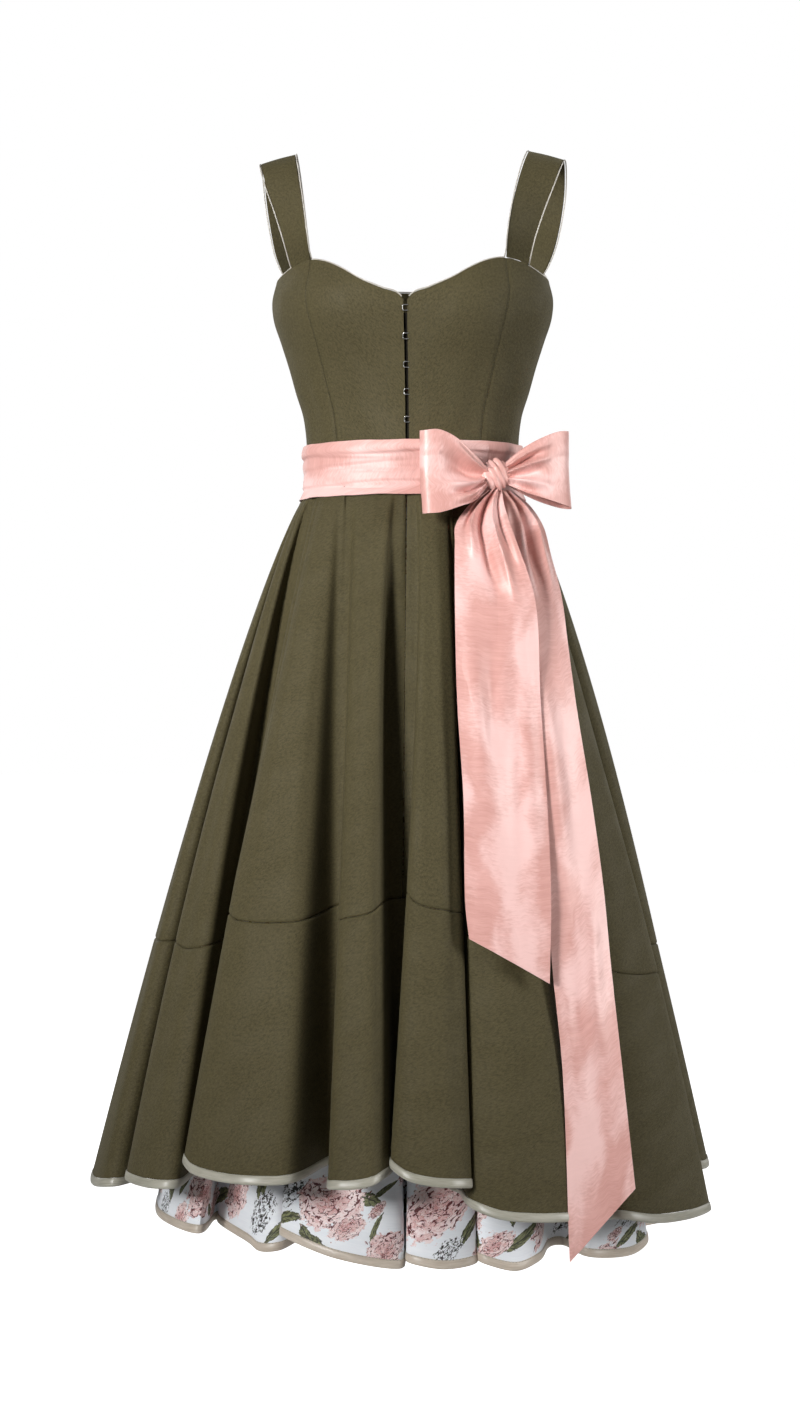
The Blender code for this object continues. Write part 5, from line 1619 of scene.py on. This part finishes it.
def make_tape(node, rows, thickness, finish):
    """Bias tape folded round an edge, with a row of stitches near its top."""
    inner = lifted(rows, -thickness, around=True)
    centre = (rows + inner) / 2.0
    out = rows - inner
    out /= np.linalg.norm(out, axis=2, keepdims=True)
    section = []
    for side, profile in ((1.0, TAPE_SECTION[:-1]), (-1.0, TAPE_SECTION[::-1])):
        for share, bulge in profile:
            reach = (thickness / 2.0 + bulge) if share < 1.0 else 0.0
            section.append(mix(*centre, share) + side * reach * mix(*out, share))
    grid = np.array(section)
    knots = spaced_knots(grid[2], around=True)
    at = np.stack([knots[:-1], (knots[:-1] + knots[1:]) / 2.0], axis=1).reshape(-1)
    grid = curve_through(grid.transpose(1, 0, 2), knots, at, around=True).transpose(1, 0, 2)
    piece = make_shell(node + "_tape", grid, TAPE_CLOTH, finish, around=True)
    outwards = normals_of(grid[:3], around=True)[1]
    stitches = make_stitches(node + "_stitches", grid[1], outwards, TAPE_THREAD)
    dressed(node)


def make_stitches(name, line, out, finish, closed=True):
    """A row of short raised stitches along a line of points on the cloth."""
    line = np.asarray(line, float)
    if closed:
        line = np.concatenate([line, line[:1]])
        out = np.concatenate([out, out[:1]])
    steps = np.linalg.norm(np.diff(line, axis=0), axis=1)
    along = np.concatenate([[0.0], np.cumsum(steps)])
    count = int(along[-1] / (STITCH_LENGTH + STITCH_GAP))
    starts = np.arange(count) * along[-1] / count
    ends = starts + STITCH_LENGTH
    middle = (starts + ends) / 2.0

    def at(places, values):
        return np.stack([np.interp(places, along, values[:, axis]) for axis in range(3)], axis=1)

    first = at(starts, line)
    last = at(ends, line)
    centre = at(middle, line)
    up = at(middle, np.asarray(out))
    up /= np.linalg.norm(up, axis=1, keepdims=True)
    forward = last - first
    side = np.cross(up, forward)
    side *= STITCH_WIDTH / np.linalg.norm(side, axis=1, keepdims=True)
    top = centre + up * STITCH_RISE
    bottom = centre - up * STITCH_RISE
    corners = np.stack([first, last, centre + side, centre - side, top, bottom], axis=1)
    faces = (STITCH_FACES[None] + corners.shape[1] * np.arange(count)[:, None, None]).reshape(-1, 3)
    return add_mesh(name, corners.reshape(-1, 3), faces.tolist(), finish)


UNDERSKIRT_CUT = Cut(2.44, 0.81, 1.19)


def make_underskirt():
    """The printed skirt below; its rows run up from the hem, so that the print's lengths do too."""
    columns = fold_columns(UNDER_FOLDS, UNDER_MEAN_REACH, skip=("shoulder",))
    binding = share_above_hem(columns, UNDERSKIRT_TOP_Z, HEM_BINDING)[None]
    down = np.linspace(0.0, 1.0, UNDERSKIRT_ROWS)[:, None] * binding
    shares = np.concatenate([down, np.ones_like(binding)])
    grid = skirt_grid(columns, shares, UNDERSKIRT_TOP_Z, UNDER_WAIST_INSET)
    grid = lifted(grid, np.full(shares.shape, FRAME_THIN), around=True)
    from_hem = grid[-2::-1]
    make_cloth("underskirt", from_hem, UNDER_CLOTH, "hung", UNDERSKIRT_CUT, around=True, out=-1.0)
    make_tape("underskirt_binding", grid[-2:], PRINT_CLOTH, CHAMPAGNE_TAPE)


# Sash and bow

# Each lap's height, its step out from the cloth below and where its waves start, in radians
SashLap = namedtuple("SashLap", "z step phase")
SASH_LAPS = table(SashLap, [
    (-0.3325, 0.0024, 0.0),
    (-0.3655, 0.0022, 1.3),
    (-0.348, 0.0008, 2.6),
])
# Waves: their height, their number round the waist, and how far their start moves on, in radians,
# with the start of the lap that they lie on or with each metre up the band
Wave = namedtuple("Wave", "height number start")
LAP_WAVES = [Wave(0.0016, 2.0, 1.0), Wave(0.0009, 5.0, 2.0)]
BAND_WAVES = [Wave(0.0005, 9.0, 40.0), Wave(0.0004, 17.0, -65.0)]
LAP_FADE = 9.0
FRONT_BACK_BLEND = 12.0
SASH_START = math.radians(45.0)
SASH_CREASES = table(Crease, [
    (0.675, 0.845, 0.0, 0.2, 0.34, 0.02, 0.03, 0.0, 0.0016),
    (0.865, 0.705, 0.0, 0.36, 0.52, 0.02, 0.03, 0.0, -0.0019),
    (0.755, 0.865, 0.0, 0.5, 0.6, 0.02, 0.026, 0.0, 0.0014),
    (0.735, 0.825, 0.0, 0.78, 0.9, 0.018, 0.022, 0.0, -0.0016),
    (0.895, 1.005, 0.0, 0.3, 0.12, 0.018, 0.022, 0.0, 0.0016),
    (0.975, 0.905, 0.0, 0.55, 0.8, 0.014, 0.02, 0.0, 0.0014),
    (0.175, 0.335, 0.0, 0.25, 0.45, 0.025, 0.03, 0.0, -0.0016),
    (0.495, 0.315, 0.0, 0.5, 0.72, 0.025, 0.03, 0.0, 0.0016),
    (0.575, 0.655, 0.0, 0.2, 0.5, 0.016, 0.022, 0.0, 0.0014),
])
SASH_LAP_WIDTH = 0.0011
SASH_CUT = Cut(0.72, 0.062, 0.041)


def waved(waves_of_cloth, turn, start):
    """Sum of some waves round the waist."""
    return sum(wave.height * np.sin(turn * wave.number + wave.start * start) for wave in waves_of_cloth)


def make_sash():
    """The band round the waist: soft lengthwise laps of one wide strip."""
    rings = np.array(SASH)
    depths = curve_through(rings, np.arange(len(rings)), np.linspace(0.0, len(rings) - 1.0, SASH_ROWS))
    turn = SASH_START + np.linspace(0.0, 2.0 * np.pi, SASH_COLUMNS, endpoint=False)
    blend = 0.5 + 0.5 * np.tanh(np.cos(turn) * FRONT_BACK_BLEND)
    depth = mix(depths[:, 3:4], depths[:, 2:3], blend[None])
    x = depths[:, 1:2] * np.sin(turn)[None]
    y = -depth * np.cos(turn)[None]
    z = np.broadcast_to(depths[:, :1], x.shape)
    grid = lifted(np.stack([x, y, z], axis=-1), np.full(x.shape, FRAME_THIN), around=True)
    height = np.zeros(x.shape)
    for lap in SASH_LAPS:
        line = lap.z + waved(LAP_WAVES, turn, lap.phase)
        away = (z - line[None]) / SASH_LAP_WIDTH
        height += lap.step * (0.5 * np.tanh(away) - 0.5) * np.exp(-np.clip(-away, 0.0, None) / LAP_FADE)
    height += waved(BAND_WAVES, turn, z) + crease_heights(grid, SASH_CREASES)
    grid = lifted(grid, height, around=True)
    make_cloth("sash_band", grid, BAND_CLOTH, "stretched", SASH_CUT, around=True)


def bow_points(away, out, height, side):
    """From the bow's own directions to the dress: away from the knot, out and up."""
    turn = math.radians(BOW_TURN)
    out = out + BOW_LEAN * np.maximum(0.0, -height)
    x = side * away * math.cos(turn) + out * math.sin(turn)
    y = side * away * math.sin(turn) - out * math.cos(turn)
    return np.array(KNOT) + np.stack([x, y, height], axis=-1)


CROSS_POINTS = 5
Loop = namedtuple("Loop", "side sections creases cut")
LOOPS = {
    "right": Loop(-1.0, LOOP_TO_RIGHT_SIDE, RIGHT_LOOP_CREASES, Cut(0.088, 0.165, 0.0115)),
    "left": Loop(1.0, LOOP_TO_LEFT_SIDE, LEFT_LOOP_CREASES, Cut(0.083, 0.160, 0.0105)),
}


def make_loops():
    for label, loop in LOOPS.items():
        away, out, top, bottom = np.array(loop.sections).T
        rows = [bow_points(away, out, mix(top, bottom, share), loop.side)
                for share in np.linspace(0.0, 1.0, CROSS_POINTS)]
        grid = refined(np.array(rows).transpose(1, 0, 2), LOOP_ROWS, LOOP_COLUMNS)
        grid = lifted(grid, FRAME_THIN + crease_heights(grid, loop.creases), out=-loop.side)
        make_cloth(f"bow_loop_{label}", grid, BOW_CLOTH, "folded", loop.cut, out=-loop.side)


# The knot is a ball of radius 1 until it is given its size. Each fold has a centre along the
# slanting direction, a width and a depth; the hollow is where the upper fold goes in.
KnotFold = namedtuple("KnotFold", "centre width depth")
KNOT_FOLDS = table(KnotFold, [
    (-0.62, 0.34, 0.2),
    (-0.1, 0.24, 0.18),
    (0.3, 0.24, 0.2),
    (0.8, 0.3, 0.16),
])
KnotHollow = namedtuple("KnotHollow", "x z spread depth")
KNOT_HOLLOW = KnotHollow(-0.55, 0.66, 0.055, 0.34)
KNOT_FOLD_SHARE = 0.35
KNOT_SLANT = 0.55
KNOT_SWELL = 1.14
KNOT_RIPPLE = 0.03
KNOT_RIPPLES = 9.0
KNOT_RIPPLE_LEAN = 3.0
KNOT_WIDENING = 1.34
KNOT_SHORTENING = 0.95
KNOT_SEGMENTS = 64
KNOT_RINGS = 40
KNOT_SHARP_ANGLE = 180.0


def make_knot():
    """The wrapped centre of the bow, with folds that run over it at a slant."""
    ball = bmesh.new()
    bmesh.ops.create_uvsphere(ball, u_segments=KNOT_SEGMENTS, v_segments=KNOT_RINGS, radius=1.0)
    x, y, z = np.array([vertex.co[:] for vertex in ball.verts]).T
    faces = [tuple(vertex.index for vertex in face.verts) for face in ball.faces]
    ball.free()
    slant = x + KNOT_SLANT * z
    swell = KNOT_SWELL + KNOT_RIPPLE * np.sin(KNOT_RIPPLES * slant + KNOT_RIPPLE_LEAN * z)
    for fold in KNOT_FOLDS:
        swell -= fold.depth * np.exp(-((slant - fold.centre) / (KNOT_FOLD_SHARE * fold.width)) ** 2)
    hollow = KNOT_HOLLOW
    from_hollow = ((x - hollow.x) ** 2 + (z - hollow.z) ** 2) / hollow.spread
    swell -= np.where(y < 0.0, hollow.depth * np.exp(-from_hollow), 0.0)
    wide, deep, high = KNOT_SIZE
    points = bow_points(x * KNOT_WIDENING * wide * swell, -y * deep * swell,
                        z * KNOT_SHORTENING * high * swell, 1.0)
    lengths = np.stack([z * high, slant * wide], axis=1)[np.concatenate(faces)]
    piece = add_mesh("bow_knot_cloth", points, faces, PINK_SATIN, lengths, KNOT_SHARP_ANGLE)
    stands_for("bow_knot")


Tail = namedtuple("Tail", "sections creases cut")
TAILS = {
    "front": Tail(FRONT_TAIL, FRONT_TAIL_CREASES, Cut(0.092, 0.53, 0.0425)),
    "side": Tail(SIDE_TAIL, SIDE_TAIL_CREASES, Cut(0.074, 0.80, 0.0500)),
}
TAIL_CROWN = 0.0020


def make_tails():
    for label, tail in TAILS.items():
        edges = np.array(tail.sections)
        rows = [mix(edges[:, :3], edges[:, 3:], share) for share in np.linspace(0.0, 1.0, CROSS_POINTS)]
        grid = refined(np.array(rows).transpose(1, 0, 2), TAIL_ROWS, TAIL_COLUMNS)
        crown = TAIL_CROWN * np.sin(np.pi * np.linspace(0.0, 1.0, TAIL_COLUMNS))[None]
        grid = lifted(grid, FRAME_THIN + crown + crease_heights(grid, tail.creases))
        make_cloth(f"sash_tail_{label}", grid, BOW_CLOTH, "hung", tail.cut)


# Hooks and stitched lines

TOPSTITCH_INSET = 0.0215
SEAM_STITCH_INSET = 0.0013
STITCH_LINE_TOP = 0.985
STITCH_LINE_END = 0.06
STITCH_LINE_POINTS = 160
HOOK_POINTS = 40
HOOK_ANGLE = 1.9


def make_hooks():
    outline = np.array(HOOK_OUTLINE)
    knots = np.arange(len(outline))
    across, up = curve_through(outline, knots, np.linspace(0.0, knots[-1], HOOK_POINTS)).T
    for number, z in enumerate(HOOK_HEIGHTS, start=1):
        heights = z + up * HOOK_HALF_HEIGHT
        seat = torso_points(HOOK_ANGLE, heights)[:, 1] - HOOK_WIRE - SEAM_GAP
        path = np.stack([across * HOOK_HALF_WIDTH, seat, heights], axis=1)
        piece = make_tube(f"hook_{number}_wire", path, HOOK_WIRE, HOOK_STEEL)
        stands_for(f"hook_{number}")


def bodice_line(angles_of, inset, side):
    """A line down the bodice beside a seam, and its outward directions."""
    shares = np.linspace(STITCH_LINE_TOP, STITCH_LINE_END, STITCH_LINE_POINTS)
    angles = angles_of(shares)
    heights = mix(WAIST_Z, upper_edge_heights(angles), shares)
    half_widths = level_curve(TORSO_Z, TORSO_SIZES, heights)[:, 0]
    angles = angles + np.degrees(inset / half_widths)
    line = torso_points(angles, heights)
    beside = torso_points(angles + 1.0, heights)
    out = np.cross(np.gradient(line, axis=0), beside - line)
    out /= np.linalg.norm(out, axis=1, keepdims=True)
    mirror = np.array([side, 1.0, 1.0])
    return line * mirror, out * mirror


def make_bodice_stitches():
    for label, side in SIDES.items():
        for name, angles_of, inset in (("front_topstitch", np.zeros_like, TOPSTITCH_INSET),
                                       ("princess_stitch", princess_angles, -SEAM_STITCH_INSET)):
            line, out = bodice_line(angles_of, inset, side)
            piece = make_stitches(f"{name}_{label}", line, out, THREAD, closed=False)


# Studio


def make_camera():
    turn = math.radians(CAMERA_TURN)
    right = np.array([math.cos(turn), math.sin(turn), 0.0])
    forward = np.array([-math.sin(turn), math.cos(turn), 0.0])
    aim = np.array([0.0, 0.0, CAMERA_AIM_Z]) + right * CAMERA_SIDE
    camera = bpy.data.cameras.new("camera")
    camera.sensor_width = SENSOR
    camera.lens = SENSOR * FOCAL_PIXELS / IMAGE_HEIGHT
    holder = placed("camera", camera)
    holder.location = aim - forward * CAMERA_DISTANCE
    holder.rotation_euler = (math.radians(90.0), 0.0, turn)
    bpy.context.scene.camera = holder


AreaLight = namedtuple("AreaLight", "name place aim width height power spread")
LIGHTS = table(AreaLight, [
    ("key", (-2.0, -3.1, 0.4), (0.0, 0.0, -0.36), 0.9, 1.3, 11.5, 40.0),
    ("fill", (3.1, -1.3, 0.15), (0.0, 0.0, -0.5), 0.9, 1.6, 9.0, 60.0),
    ("top", (0.3, -0.9, 2.3), (0.0, 0.0, -0.4), 1.6, 1.2, 5.0, 180.0),
    ("back left", (-2.0, 2.4, 0.6), (0.0, 0.0, -0.5), 1.4, 2.2, 26.0, 180.0),
    ("back right", (2.2, 2.2, 0.4), (0.0, 0.0, -0.5), 1.4, 2.2, 22.0, 180.0),
])
WORLD_LIGHT = 0.045
FLOOR_CORNERS = 96
FLOOR_GRAIN = Grain(3.0)
FLOOR_DARK = (0.90, 0.90, 0.90, 1.0)
FLOOR_LIGHT = (0.93, 0.93, 0.93, 1.0)


def make_studio():
    for light in LIGHTS:
        lamp = bpy.data.lights.new(light.name, "AREA")
        lamp.shape = "RECTANGLE"
        lamp.size = light.width
        lamp.size_y = light.height
        lamp.energy = light.power
        lamp.spread = math.radians(light.spread)
        holder = placed(light.name, lamp)
        holder.location = light.place
        away = np.array(light.place) - np.array(light.aim)
        flat = math.hypot(away[0], away[1])
        heading = math.atan2(away[1], away[0]) + math.pi / 2.0
        holder.rotation_euler = (math.atan2(flat, away[2]), 0.0, heading)
    world = bpy.data.worlds.new("studio")
    world.use_nodes = True
    seen = camera_ray(world.node_tree)
    set_inputs(world.node_tree.nodes["Background"], Color=WHITE,
               Strength=seen * (1.0 - WORLD_LIGHT) + WORLD_LIGHT)
    bpy.context.scene.world = world
    bpy.context.scene.view_settings.view_transform = "Standard"
    make_floor()


def make_floor():
    turn = np.linspace(0.0, 2.0 * np.pi, FLOOR_CORNERS, endpoint=False)
    points = np.full((FLOOR_CORNERS, 3), FLOOR_Z)
    points[:, :2] = FLOOR_RADIUS * np.stack([np.cos(turn), np.sin(turn)], axis=1)
    mesh = bpy.data.meshes.new("floor")
    mesh.from_pydata(points.tolist(), [], [tuple(range(FLOOR_CORNERS))])
    material, shader, _ = new_finish("pale floor")
    grain = noise(plain_place(material), FLOOR_GRAIN)
    set_inputs(shader, Base_Color=mixed(grain, FLOOR_DARK, FLOOR_LIGHT), Roughness=0.9,
               Specular_IOR_Level=0.0, Emission_Color=WHITE,
               Emission_Strength=camera_ray(material.node_tree))
    mesh.materials.append(material)
    placed("floor", mesh)


make_bodice()
make_front_underlap()
make_straps()
make_piping()
make_outer_skirt()
make_underskirt()
make_sash()
make_loops()
make_knot()
make_tails()
make_hooks()
make_bodice_stitches()
make_camera()
make_studio()
